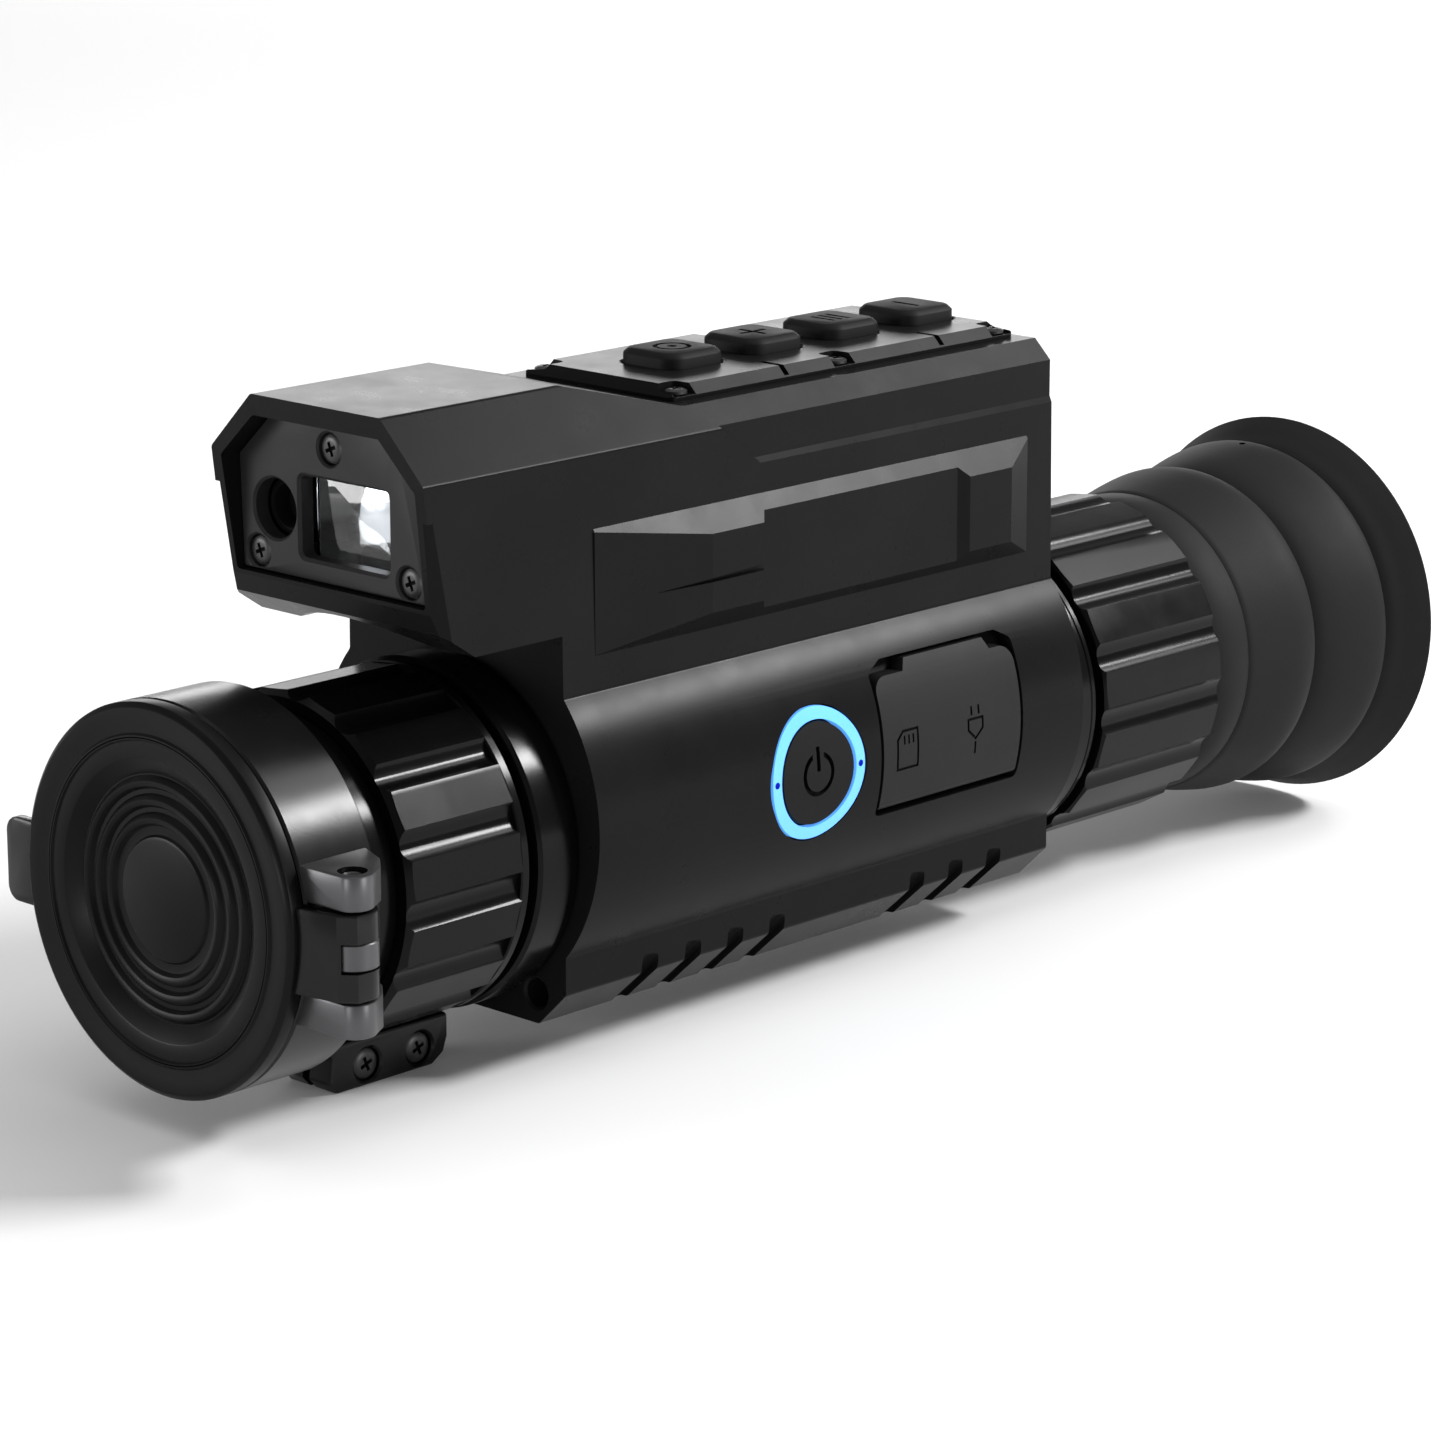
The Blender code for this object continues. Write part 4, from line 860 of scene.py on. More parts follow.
# ---------------------------------------------------------------- fasteners
def cross_screw(name, node, place, axis, head_at, out, head_r, head_h, shank_r, length):
    """A pan-head screw with a cross recess. head_at is its outer face, out the way it faces."""
    centre = list(place)
    centre["XYZ".index(axis)] = 0.0
    edge = 0.3
    rows = ((0.02, 0), (0, head_r * 0.55), (edge * 0.35, head_r - edge), (edge, head_r), (head_h, head_r),
            (head_h, shank_r), (length, shank_r), (length, 0))
    profile = [(head_at - depth * out, radius) for depth, radius in rows]
    obj = turned(profile, centre, axis, COARSE, "dark_steel")
    wide = 0.30
    reach = head_r * 0.62
    # The cross recess takes the painted recess shade, darker than the head.
    arms = []
    for turn in (22.0, 112.0):
        arm = loft([[(-reach, -wide, 0.3), (reach, -wide, 0.3), (reach, wide, 0.3), (-reach, wide, 0.3)],
                    [(-reach * 0.5, -wide * 0.7, -0.6), (reach * 0.5, -wide * 0.7, -0.6),
                     (reach * 0.5, wide * 0.7, -0.6), (-reach * 0.5, wide * 0.7, -0.6)]], "recess_shade")
        arms.append(move(arm, Matrix.Rotation(math.radians(turn), 4, 'Z')))
    face = {"X": Vector((out, 0, 0)), "Y": Vector((0, out, 0)), "Z": Vector((0, 0, out))}[axis]
    seat = Vector(centre)
    seat["XYZ".index(axis)] = head_at
    aim = Matrix.Translation(seat * MM) @ face.to_track_quat('Z', 'Y').to_matrix().to_4x4()
    for arm in arms:
        move(arm, aim)
    boolean(obj, arms)
    show(obj, name, "dark_steel", "scope_body", [node])


# ---------------------------------------------------------------- rangefinder
def make_rangefinder():
    """The front plate with its screws, the emitter and the receiver's window and lens."""
    plate = prism(softened(plate_outline(0), 0.6), "Y", PLATE_FRONT, PLATE_BACK)
    round_edges(plate, 0.25)
    x0, x1, z0, z1 = WINDOW
    sections = []
    for y, grow in ((-80, 0.45), (PLATE_FRONT, 0.45), (PLATE_FRONT + 0.45, 0.0), (-60, 0.0)):
        outline = rounded_rect(x0 - grow, x1 + grow, z0 - grow, z1 + grow, 1.0 + grow)
        sections.append([(x, y, z) for x, z in outline])
    opening = loft(sections)
    eye = turned([(-80, 0), (-80, EMITTER_R + 0.35), (PLATE_FRONT, EMITTER_R + 0.35),
                  (PLATE_FRONT + 0.35, EMITTER_R), (-60, EMITTER_R), (-60, 0)],
                 (EMITTER_X, 0, EMITTER_Z), "Y", 64)
    boolean(plate, [opening, eye])
    places = PLATE_SCREWS.values()
    heads = [pit((x, 0, z), "Y", PLATE_FRONT, -1, SEAT_DEPTH, SEAT_R, 0.3) for x, z in places]
    drill(plate, heads)
    drill(plate, [rod((x, 0, z), "Y", -80, -60, HOLE_R, TINY) for x, z in places])
    show(plate, "front_plate", "plate", "scope_body", ["rangefinder_plate"])
    for name, (x, z) in PLATE_SCREWS.items():
        cross_screw("front_plate_screw_" + name, "plate_screw_" + name, (x, 0, z), "Y",
                    PLATE_FRONT + 0.3, -1, HEAD_R, 0.75, SHANK_R, 6.2)
    back = PLATE_BACK + GAP
    # The emitter tube takes the painted recess shade, dark as the hole it sits in.
    emitter = turned([(-55.0, 0), (-55.0, 3.9), (back, 3.9), (back + 0.2, 3.7), (back, 3.5), (back, 3.1),
                      (back + 1.2, 2.7), (back + 2.2, 2.6), (back + 2.0, 1.4), (back + 1.9, 0)],
                     (EMITTER_X, 0, EMITTER_Z), "Y", 64, "recess_shade")
    show(emitter, "emitter_tube", "recess_shade", "scope_body", ["laser_emitter"])
    outline = rounded_rect(x0 + 0.3, x1 + 0.6, z0 - 1.2, z1 + 1.2, 0.9)
    pane = round_edges(prism(outline, "Y", back, back + 1.2), 0.15)
    show(pane, "receiver_pane", "glass", "scope_body", ["receiver_window"])
    dome = [(LENS_DOME_Y + LENS_DOME_R - math.sqrt(LENS_DOME_R ** 2 - r * r), r)
            for r in (0, 1, 2, 3, 4, 5, 6, 6.6, 7.1)]
    lens = turned(dome + [(-64.9, 7.4), (-62.6, 7.4), (-62.6, 0)], (RECEIVER_X, 0, RECEIVER_Z), "Y",
                  FINE, "lens")
    show(lens, "receiver_optic", "lens", "scope_body", ["receiver_lens"])


# ---------------------------------------------------------------- keypad
def panel_slope(edge, sign):
    """The outline cut away beside an edge of the panel: sign is the way out of it."""
    rows = ((4, DECK_Z - 1), (0.05, DECK_Z - 0.4), (0.05, DECK_Z + PANEL_LIP),
            (-PANEL_SLOPE, PANEL_TOP_Z + 0.2), (-PANEL_SLOPE, PANEL_TOP_Z + 3), (4, PANEL_TOP_Z + 3))
    return [(edge + sign * out, z) for out, z in rows]


def key_outline(y, grow, corner):
    """A key's outline at y, grown by grow."""
    half = BUTTON_SIZE / 2 + grow
    return rounded_rect(-half, half, y - half, y + half, corner, 8)


def make_panel():
    """The raised panel round the four keys, and its screws."""
    panel = prism(softened([(-PANEL_HALF, PANEL_FRONT), (PANEL_HALF, PANEL_FRONT), (PANEL_HALF, PANEL_REAR),
                            (-PANEL_HALF, PANEL_REAR)], 1.0), "Z", DECK_Z + 0.02, PANEL_TOP_Z)
    cutters = []
    for sign in (-1, 1):
        cutters.append(prism(panel_slope(sign * PANEL_HALF, sign), "Y", -40, 70))
    for sign, end in ((-1, PANEL_FRONT), (1, PANEL_REAR)):
        cutters.append(prism(panel_slope(end, sign), "X", -REACH, REACH))
    boolean(panel, cutters)
    notches = []
    for sign in (-1, 1):
        for y in PANEL_SCREW_Y:
            inner = PANEL_SCREW_X - 2.2
            outline = softened([(sign * inner, y - 1.9), (sign * (PANEL_HALF + 5), y - 2.6),
                                (sign * (PANEL_HALF + 5), y + 2.6), (sign * inner, y + 1.9)], 1.3)
            notches.append(prism(outline, "Z", DECK_Z + PANEL_FOOT, PANEL_TOP_Z + 2))
    drill(panel, notches)
    # The slit walls take the painted recess shade.
    slits = []
    for i in (0, 2):
        y = BUTTON_FIRST_Y + (i + 0.5) * BUTTON_PITCH
        for sign in (-1, 1):
            span = sorted((sign * 9.5, sign * (PANEL_HALF + 2)))
            slits.append(box(span, (y - 0.5, y + 0.5), (DECK_Z + 0.7, PANEL_TOP_Z + 2), "recess_shade"))
    drill(panel, slits)
    holes = []
    for x in (-PANEL_SCREW_X, PANEL_SCREW_X):
        for y in PANEL_SCREW_Y:
            holes.append(rod((x, y, 0), "Z", 80, 90, PANEL_HOLE_R, TINY))
    drill(panel, holes)
    wells = []
    for i in range(len(BUTTON_NAMES)):
        y = BUTTON_FIRST_Y + i * BUTTON_PITCH
        sections = []
        for z, grow in ((80, 0.0), (PANEL_TOP_Z - 0.25, 0.0), (PANEL_TOP_Z, 0.25), (90, 0.25)):
            outline = key_outline(y, KEY_GAP + grow, BUTTON_CORNER + KEY_GAP + grow)
            sections.append([(x, v, z) for x, v in outline])
        wells.append(loft(sections))
    drill(panel, wells)
    show(panel, "keypad_panel", "anodised", "scope_body", ["button_panel"])
    for sign, side_name in ((-1, "left"), (1, "right")):
        for y, place in zip(PANEL_SCREW_Y, ("front", "middle", "rear")):
            node = "panel_screw_%s_%s" % (side_name, place)
            cross_screw("keypad_screw_%s_%s" % (side_name, place), node, (sign * PANEL_SCREW_X, y, 0), "Z",
                        DECK_Z + 1.45, 1, 1.6, 0.7, 0.75, 3.6)


def icon_cutters(label, y):
    """The sign engraved in a key's top."""
    # The grooves of the sign carry the painted recess shade.
    lo = BUTTON_TOP_Z - ICON_DEPTH
    hi = BUTTON_TOP_Z + 1
    wide = 0.42
    if label == "range":
        ring = turned([(lo, 2.1), (lo, 2.8), (hi, 2.8), (hi, 2.1)], (0, y, 0), "Z", 48, "recess_shade")
        return [ring, rod((0, y, 0), "Z", lo, hi, 0.75, 24, "recess_shade")]
    if label == "plus":
        return [box((-2.6, 2.6), (y - wide, y + wide), (lo, hi), "recess_shade"),
                box((-wide, wide), (y - 2.6, y + 2.6), (lo, hi), "recess_shade")]
    if label == "minus":
        return [box((-2.6, 2.6), (y - wide, y + wide), (lo, hi), "recess_shade")]
    return [join([box((-2.4, 2.4), (y + at - 0.32, y + at + 0.32), (lo, hi), "recess_shade")
                  for at in (-1.6, 0.0, 1.6)])]


def make_button(label, y):
    """A rubber key: upright sides, a sloping shoulder, its engraved sign and the stem below."""
    low = DECK_Z + BUTTON_TRAVEL + KEY_SEAT
    levels = ((low, -0.2), (low + 0.2, 0.0), (BUTTON_TOP_Z - 0.85, -0.05), (BUTTON_TOP_Z - 0.7, -0.12),
              (BUTTON_TOP_Z - 0.14, -0.75), (BUTTON_TOP_Z, -1.05))
    sections = []
    for z, grow in levels:
        sections.append([(x, v, z) for x, v in key_outline(y, grow, BUTTON_CORNER + grow)])
    key = loft(sections, "key_rubber")
    boolean(key, icon_cutters(label, y))
    boolean(key, [rod((0, y, 0), "Z", STEM_FOOT_Z, low + 0.4, STEM_R, COARSE, "key_rubber")], 'UNION')
    show(key, "key_" + label, "key_rubber", "key_" + label, ["button_" + label], 40)


# ---------------------------------------------------------------- power button and ports
def make_power():
    """The power key and the light ring round it."""
    ring = turned([(30, LED_INNER), (30, LED_OUTER), (POWER_FLOOR_X + GAP, LED_OUTER),
                   (POWER_FLOOR_X + GAP, LED_INNER)], (0, POWER_Y, POWER_Z), "X", 128, "led")
    boolean(ring, [flank(BULGE_R, -30, 20)], 'INTERSECT')
    middle = (LED_INNER + LED_OUTER) / 2
    posts = [rod((0, POWER_Y + sign * middle, POWER_Z), "X", BULGE_R - 0.55, 30, 0.5, 24, "led_dot")
             for sign in (-1, 1)]
    drill(ring, posts)
    show(ring, "power_light_ring", "led", "scope_body", ["power_led_ring"], 40)
    profile = [(30, 0), (30, POWER_R - 0.3), (POWER_FLOOR_X + 1.1, POWER_R),
               (POWER_FLOOR_X + 1.1, 3.6), (22.6, 3.6), (22.6, 0)]
    key = turned(profile, (0, POWER_Y, POWER_Z), "X", FINE, "key_rubber")
    boolean(key, [flank(BULGE_R - 0.1, -30, 20)], 'INTERSECT')
    # The sign's grooves carry the painted recess shade.
    floor = BULGE_R - 0.95
    loop = turned([(floor, 2.55), (floor, 3.25), (32, 3.25), (32, 2.55)], (0, POWER_Y, POWER_Z), "X", 48,
                  "recess_shade")
    boolean(loop, [box((20, 36), (POWER_Y - 1.15, POWER_Y + 1.15), (POWER_Z, POWER_Z + 6))])
    bar = box((floor, 32), (POWER_Y - 0.36, POWER_Y + 0.36), (POWER_Z + 0.4, POWER_Z + 4.0), "recess_shade")
    boolean(key, [loop, bar])
    show(key, "power_key", "key_rubber", "key_power", ["power_button"], 40)


def make_port_cover():
    """The rubber flap over the ports, and its hinge pin."""
    cover = prism(port_outline(-GAP, PORT_PIN_Z), "X", 18, 34, "port_rubber")
    boolean(cover, [flank(BULGE_R, 0, 44)], 'INTERSECT')
    boolean(cover, [flank(BULGE_R - PORT_SKIN, 0, 44)])
    lo, hi = PORT_Y[0] + GAP, PORT_Y[1] - GAP
    knuckle = rod((PORT_PIN_X, 0, PORT_PIN_Z), "Y", lo, hi, PORT_KNUCKLE_R, COARSE, "port_rubber")
    boolean(cover, [knuckle], 'UNION')
    boolean(cover, [rod((PORT_PIN_X, 0, PORT_PIN_Z), "Y", 0, 44, 0.65, TINY)])
    drill(cover, card_icon() + plug_icon())
    show(cover, "port_flap", "port_rubber", "port_door", ["port_cover"], 35)
    pin = rod((PORT_PIN_X, 0, PORT_PIN_Z), "Y", PORT_Y[0] - 1.5, PORT_Y[1] + 1.5, 0.45, 24, "steel")
    show(pin, "port_flap_pin", "steel", "scope_body", ["port_cover_pin"])


def groove(points, wide=0.45, deep=0.3):
    """A straight groove through (y, z) points on the flank, following its curve."""
    # The groove's walls carry the painted recess shade.
    pieces = []
    for (ya, za), (yb, zb) in zip(points, points[1:]):
        along = Vector((yb - ya, zb - za))
        across = Vector((-along.y, along.x)).normalized() * wide / 2
        reach = along.normalized() * wide * 0.35
        corners = [(ya - reach.x + across.x, za - reach.y + across.y),
                   (yb + reach.x + across.x, zb + reach.y + across.y),
                   (yb + reach.x - across.x, zb + reach.y - across.y),
                   (ya - reach.x - across.x, za - reach.y - across.y)]
        middle = (za + zb) / 2 - BULGE_Z
        face = math.sqrt(BULGE_R ** 2 - middle ** 2)
        pieces.append(prism(corners, "X", face - deep, face + 2, "recess_shade"))
    return boolean(pieces[0], pieces[1:], 'UNION')


def card_icon():
    """A memory card with a cut corner and three contacts, on the front half of the cover."""
    y, z = 11.7, 29.6
    edge = [(y - 2.2, z - 2.8), (y + 2.2, z - 2.8), (y + 2.2, z + 2.8), (y - 1.0, z + 2.8),
            (y - 2.2, z + 1.6), (y - 2.2, z - 2.8)]
    marks = [groove(edge, 0.4)]
    for i in range(3):
        marks.append(groove([(y - 0.7 + i * 0.95, z + 0.9), (y - 0.7 + i * 0.95, z + 2.0)], 0.34))
    return marks


def plug_icon():
    """A plug with two prongs and a lead, at the rear half of the cover."""
    y, z = 26.7, 30.2
    body = [(y - 1.6, z + 1.2), (y + 1.6, z + 1.2), (y + 1.6, z - 0.4), (y, z - 1.8), (y - 1.6, z - 0.4),
            (y - 1.6, z + 1.2)]
    return [groove(body, 0.4), groove([(y - 0.8, z + 1.9), (y - 0.8, z + 3.0)], 0.4),
            groove([(y + 0.8, z + 1.9), (y + 0.8, z + 3.0)], 0.4), groove([(y, z - 2.4), (y, z - 4.0)], 0.4)]


# ---------------------------------------------------------------- objective
def fluted(front, rear, radius, bore, name, body, node, chamfer=0.9, rim=0.0):
    """A grip ring: flat lands with rounded flutes between them, chamfered at both ends."""
    pitch = 360.0 / FLUTES
    outline = []
    for i in range(FLUTES):
        start = i * pitch
        land = arc(0, AXIS_Z, radius, start, start + pitch * LAND_SHARE, 1)
        flute = []
        for k in range(1, 10):
            t = k / 10
            drop = FLUTE_DEPTH * math.sin(math.pi * t) ** 0.75
            angle = math.radians(start + pitch * (LAND_SHARE + (1 - LAND_SHARE) * t))
            r = radius - drop
            flute.append((r * math.cos(angle), AXIS_Z + r * math.sin(angle)))
        outline += land + flute
    ring = prism(outline, "Y", front, rear - rim, "turned")
    limit = turned([(front, bore), (front, radius - chamfer), (front + chamfer, radius + 0.01),
                    (rear - 0.35, radius + 0.01), (rear, radius - 0.35), (rear, bore)], steps=FINE,
                   material="turned")
    boolean(ring, [limit], 'INTERSECT')
    if rim:
        start = rear - rim
        band = turned([(start - 0.2, bore), (start - 0.2, radius - 0.25), (start, radius - 0.02),
                       (rear - 0.3, radius - 0.02), (rear, radius - 0.3), (rear, bore)], material="turned")
        boolean(ring, [band], 'UNION')
    show(ring, name, "turned", body, [node], 24)


def make_objective():
    """The objective barrel, focus ring, lens and the ring that keeps it."""
    edge = 0.4
    barrel = turned([(BARREL_FRONT, BARREL_R - edge), (BARREL_FRONT + edge, BARREL_R),
                     (COLLAR_FRONT, BARREL_R), (COLLAR_FRONT, COLLAR_R - 0.5), (COLLAR_FRONT + 0.5, COLLAR_R),
                     (BODY_FRONT - 2.2, COLLAR_R), (BODY_FRONT - 1.9, COLLAR_R - 0.5),
                     (BODY_FRONT - GAP, COLLAR_R - 0.5), (BODY_FRONT - GAP, 21.5), (BODY_FRONT + 3.8, 21.5),
                     (BODY_FRONT + 3.8, BARREL_BORE), (BARREL_FRONT + 3.4, BARREL_BORE),
                     (BARREL_FRONT, BARREL_BORE)], material="turned")
    show(barrel, "barrel", "turned", "scope_body", ["objective_barrel"])
    fluted(FOCUS_FRONT, FOCUS_REAR, FOCUS_R, BARREL_R + GAP, "focus_grip", "focus", "focus_ring", rim=1.4)
    lens_r = BARREL_BORE - GAP
    rows = ((0.5, lens_r - 0.3), (0.8, lens_r), (3, lens_r), (3, 16.4), (1.9, 16.6), (1.7, 17.1), (0.7, 17.3),
            (0.5, 17.6))
    keeper = turned([(BARREL_FRONT + along, radius) for along, radius in rows], material="turned")
    notch = box((-25, 25), (BARREL_FRONT, BARREL_FRONT + 1.4), (AXIS_Z - 0.9, AXIS_Z + 0.9), "turned")
    boolean(keeper, [notch])
    show(keeper, "objective_keeper", "turned", "scope_body", ["objective_retaining_ring"])
    curve = [(-94.9 + 0.0065 * r * r, r) for r in (0, 3, 6, 9, 12, 15, 17.6)]
    lens = turned(curve + [(-92.2, lens_r), (-89.0, lens_r), (-89.0, 0)], material="germanium")
    show(lens, "objective_optic", "germanium", "scope_body", ["objective_lens"])


# ---------------------------------------------------------------- flip cap
def make_cap_ring():
    """The cap's ring with its hinge lugs and the screwed clamp below, the hinge pin and its bush."""
    ring = turned([(CAP_FRONT, CAP_R - 0.35), (CAP_FRONT + 0.35, CAP_R), (CAP_REAR - 0.7, CAP_R),
                   (CAP_REAR, CAP_R - 0.7), (CAP_REAR, BARREL_R + GAP), (BARREL_FRONT - GAP, BARREL_R + GAP),
                   (BARREL_FRONT - GAP, 24.3), (CAP_FRONT, 24.3)], steps=128, material="cap_metal")
    top = HINGE_MID_Z + KNUCKLE_HALF + GAP
    bottom = HINGE_MID_Z - KNUCKLE_HALF - GAP
    plan = ([(23.2, -103.0)] + arc(HINGE_X + 0.5, HINGE_Y - 0.4, 2.8, -75, 40, 10)
            + [(HINGE_X + 1.2, -96.0), (30.0, -93.2), (23.2, -90.4)])
    lugs = []
    for lo, hi in ((top, top + LUG_HEIGHT), (bottom - LUG_HEIGHT, bottom)):
        lugs.append(round_edges(prism(plan, "Z", lo, hi, "hinge_metal"), 0.3))
    boolean(ring, lugs, 'UNION')
    tail = [(-95.0, -0.6), (EAR_FRONT + 0.6, -0.6), (EAR_FRONT, EAR_BOTTOM + 1.6),
            (EAR_FRONT + 1.4, EAR_BOTTOM), (EAR_REAR - 3.0, EAR_BOTTOM),
            (EAR_REAR - 0.8, EAR_BOTTOM + 1.4), (EAR_REAR, EAR_BOTTOM + 3.6), (EAR_REAR, 0.9),
            (CAP_REAR - 0.6, 0.9), (CAP_REAR - 0.6, 2.6), (-95.0, 2.6)]
    clamp = round_edges(prism(softened(tail, 0.6), "X", -EAR_X, EAR_X, "cap_metal"), 0.5)
    boolean(ring, [clamp], 'UNION')
    gap = box((-EAR_GAP, EAR_GAP), (-106, -50), (-12, 8))
    bore = rod((HINGE_X, HINGE_Y, 0), "Z", 8, 42, HINGE_PIN_R + 0.3, COARSE)
    boolean(ring, [gap, bore])
    heads = [pit((0, y, CLAMP_SCREW_Z), "X", EAR_X, 1, 1.4, 2.45, 0.3) for y in CLAMP_SCREW_Y]
    drill(ring, heads)
    drill(ring, [rod((0, y, CLAMP_SCREW_Z), "X", -10, 10, 1.25, TINY) for y in CLAMP_SCREW_Y])
    show(ring, "cap_mount", "cap_metal", "scope_body", ["cap_ring"])
    for y, label in zip(CLAMP_SCREW_Y, ("front", "rear")):
        cross_screw("clamp_screw_" + label, "cap_clamp_screw_" + label, (0, y, CLAMP_SCREW_Z), "X",
                    EAR_X - 0.3, 1, 2.15, 0.85, 1.0, 9.2)
    head = top + LUG_HEIGHT - 0.5
    foot = bottom - LUG_HEIGHT + 0.5
    pin = turned([(head, 0), (head, 0.5), (head - 0.4, 0.7), (head - 0.2, 1.1), (head, 1.3),
                  (head - 0.3, HINGE_PIN_R), (foot + 0.3, HINGE_PIN_R), (foot, HINGE_PIN_R - 0.3), (foot, 0)],
                 (HINGE_X, HINGE_Y, 0), "Z", COARSE, "dark_steel")
    show(pin, "cap_hinge_pin", "dark_steel", "scope_body", ["hinge_pin"])
    half = BUSH_HALF - 0.15
    edge = 0.2
    bush = turned([(HINGE_MID_Z + half, HINGE_PIN_R + 0.15), (HINGE_MID_Z + half, KNUCKLE_R - edge),
                   (HINGE_MID_Z + half - edge, KNUCKLE_R), (HINGE_MID_Z - half + edge, KNUCKLE_R),
                   (HINGE_MID_Z - half, KNUCKLE_R - edge), (HINGE_MID_Z - half, HINGE_PIN_R + 0.15)],
                  (HINGE_X, HINGE_Y, 0), "Z", 64, "hinge_metal")
    show(bush, "cap_hinge_bush", "hinge_metal", "scope_body", ["hinge_friction_bush"])


def lid_profile():
    """The lid's face from its centre out: disc, three ridges, a cone, a flat and a double ring line."""
    face = [(1.5, 0), (1.5, 8.1), (1.62, 8.5), (1.95, 8.8), (1.95, 9.6)]
    for r in (11.0, 13.5, 16.0):
        face += [(1.9, r - 1.0), (1.35, r - 0.55), (1.2, r - 0.2), (1.2, r + 0.15), (1.4, r + 0.5),
                 (1.9, r + 0.9)]
    face += [(1.9, 17.1), (0.5, 19.3), (0.42, 19.5), (0.42, 21.7), (0.12, 21.95), (0.12, 22.1), (0.3, 22.2),
             (0.12, 22.3), (0.12, 22.5), (0.4, 22.8), (0.2, 24.5), (0.0, 25.8), (0.0, 26.2), (0.2, 26.6),
             (0.6, CAP_R - 0.05), (0.8, CAP_R)]
    return [(LID_FRONT + a, r) for a, r in face]


def make_lid():
    """The lid with its hinge arm on +X and its finger tab on -X."""
    back = [(LID_BACK - 0.2, CAP_R), (LID_BACK, CAP_R - 0.2), (LID_BACK, 23.4), (LID_BACK + 1.1, 23.2),
            (LID_BACK + 1.1, 15.0), (LID_BACK + 0.9, 14.6), (LID_BACK + 0.9, 0)]
    # The lid's face takes the darker copy of the cap metal: painted shade.
    lid = turned(lid_profile() + back, steps=144, material="lid_shade")
    lo, hi = HINGE_MID_Z - KNUCKLE_HALF, HINGE_MID_Z + KNUCKLE_HALF
    arm = ([(22.0, LID_FRONT + 0.5), (HINGE_X + 1.0, LID_FRONT + 2.6), (HINGE_X + 3.2, -102.0)]
           + arc(HINGE_X, HINGE_Y, KNUCKLE_R, 0, 180, 12) + [(HINGE_X - 3.4, LID_BACK), (22.0, LID_BACK)])
    hinge = round_edges(prism(arm, "Z", lo, hi, "cap_metal"), 0.3)
    tab_outline = rounded_rect(-31.8, -24.0, AXIS_Z - 6.0, AXIS_Z + 6.0, 2.2)
    tab = round_edges(prism(tab_outline, "Y", LID_FRONT + 0.4, LID_FRONT + 2.3, "cap_metal"), 0.4)
    boolean(lid, [hinge, tab], 'UNION')
    bore = rod((HINGE_X, HINGE_Y, 0), "Z", 8, 42, HINGE_PIN_R + 0.3, COARSE)
    room = box((HINGE_X - 4.0, HINGE_X + 6), (-103.3, -94),
               (HINGE_MID_Z - BUSH_HALF, HINGE_MID_Z + BUSH_HALF))
    boolean(lid, [bore, room])
    show(lid, "lid_plate", "cap_metal", "lid", ["cap_lid"], 24)


# ---------------------------------------------------------------- eyepiece
def make_eyepiece():
    """The collar behind the housing with its set screw, and the diopter ring."""
    ring = turned([(RING_FRONT, RING_R - 0.6), (RING_FRONT + 0.6, RING_R), (RING_REAR - 1.6, RING_R),
                   (RING_REAR - 1.4, RING_R - 0.25), (RING_REAR - 1.2, RING_R), (RING_REAR - 0.5, RING_R),
                   (RING_REAR, RING_R - 0.5), (RING_REAR, TUBE_R + GAP), (RING_FRONT, TUBE_R + GAP)],
                  material="turned")
    turn = Matrix.Rotation(math.radians(90 - SET_SCREW_RISE), 4, 'Y')
    aim = Matrix.Translation(Vector((0, SET_SCREW_Y, AXIS_Z)) * MM) @ turn
    hole = move(rod((0, 0, 0), "Z", 18, 30, 1.0, 24), aim)
    boolean(ring, [hole])
    show(ring, "rear_collar", "turned", "scope_body", ["eyepiece_collar"])
    pin = turned([(TUBE_R + GAP + 0.05, 0), (TUBE_R + GAP + 0.05, 0.8), (23.2, 0.8), (23.2, 0.45),
                  (22.7, 0.4), (22.7, 0)], (0, 0, 0), "Z", 24, "dark_steel")
    show(move(pin, aim), "rear_collar_set_screw", "dark_steel", "scope_body",
         ["collar_set_screw"])
    fluted(DIOPTER_FRONT, DIOPTER_REAR, DIOPTER_R, TUBE_R + GAP, "diopter_grip", "diopter", "diopter_ring",
           chamfer=0.5)


def smooth_profile(points, steps=4):
    """A rounder run through the points of a profile, passing through each of them."""
    out = []
    last = len(points) - 1
    for i in range(last):
        p0 = Vector(points[max(i - 1, 0)])
        p1 = Vector(points[i])
        p2 = Vector(points[i + 1])
        p3 = Vector(points[min(i + 2, last)])
        for k in range(steps):
            t = k / steps
            p = 0.5 * (2 * p1 + (p2 - p0) * t + (2 * p0 - 5 * p1 + 4 * p2 - p3) * t * t
                       + (3 * p1 - p0 - 3 * p2 + p3) * t ** 3)
            out.append((p.x, p.y))
    out.append(points[-1])
    return out


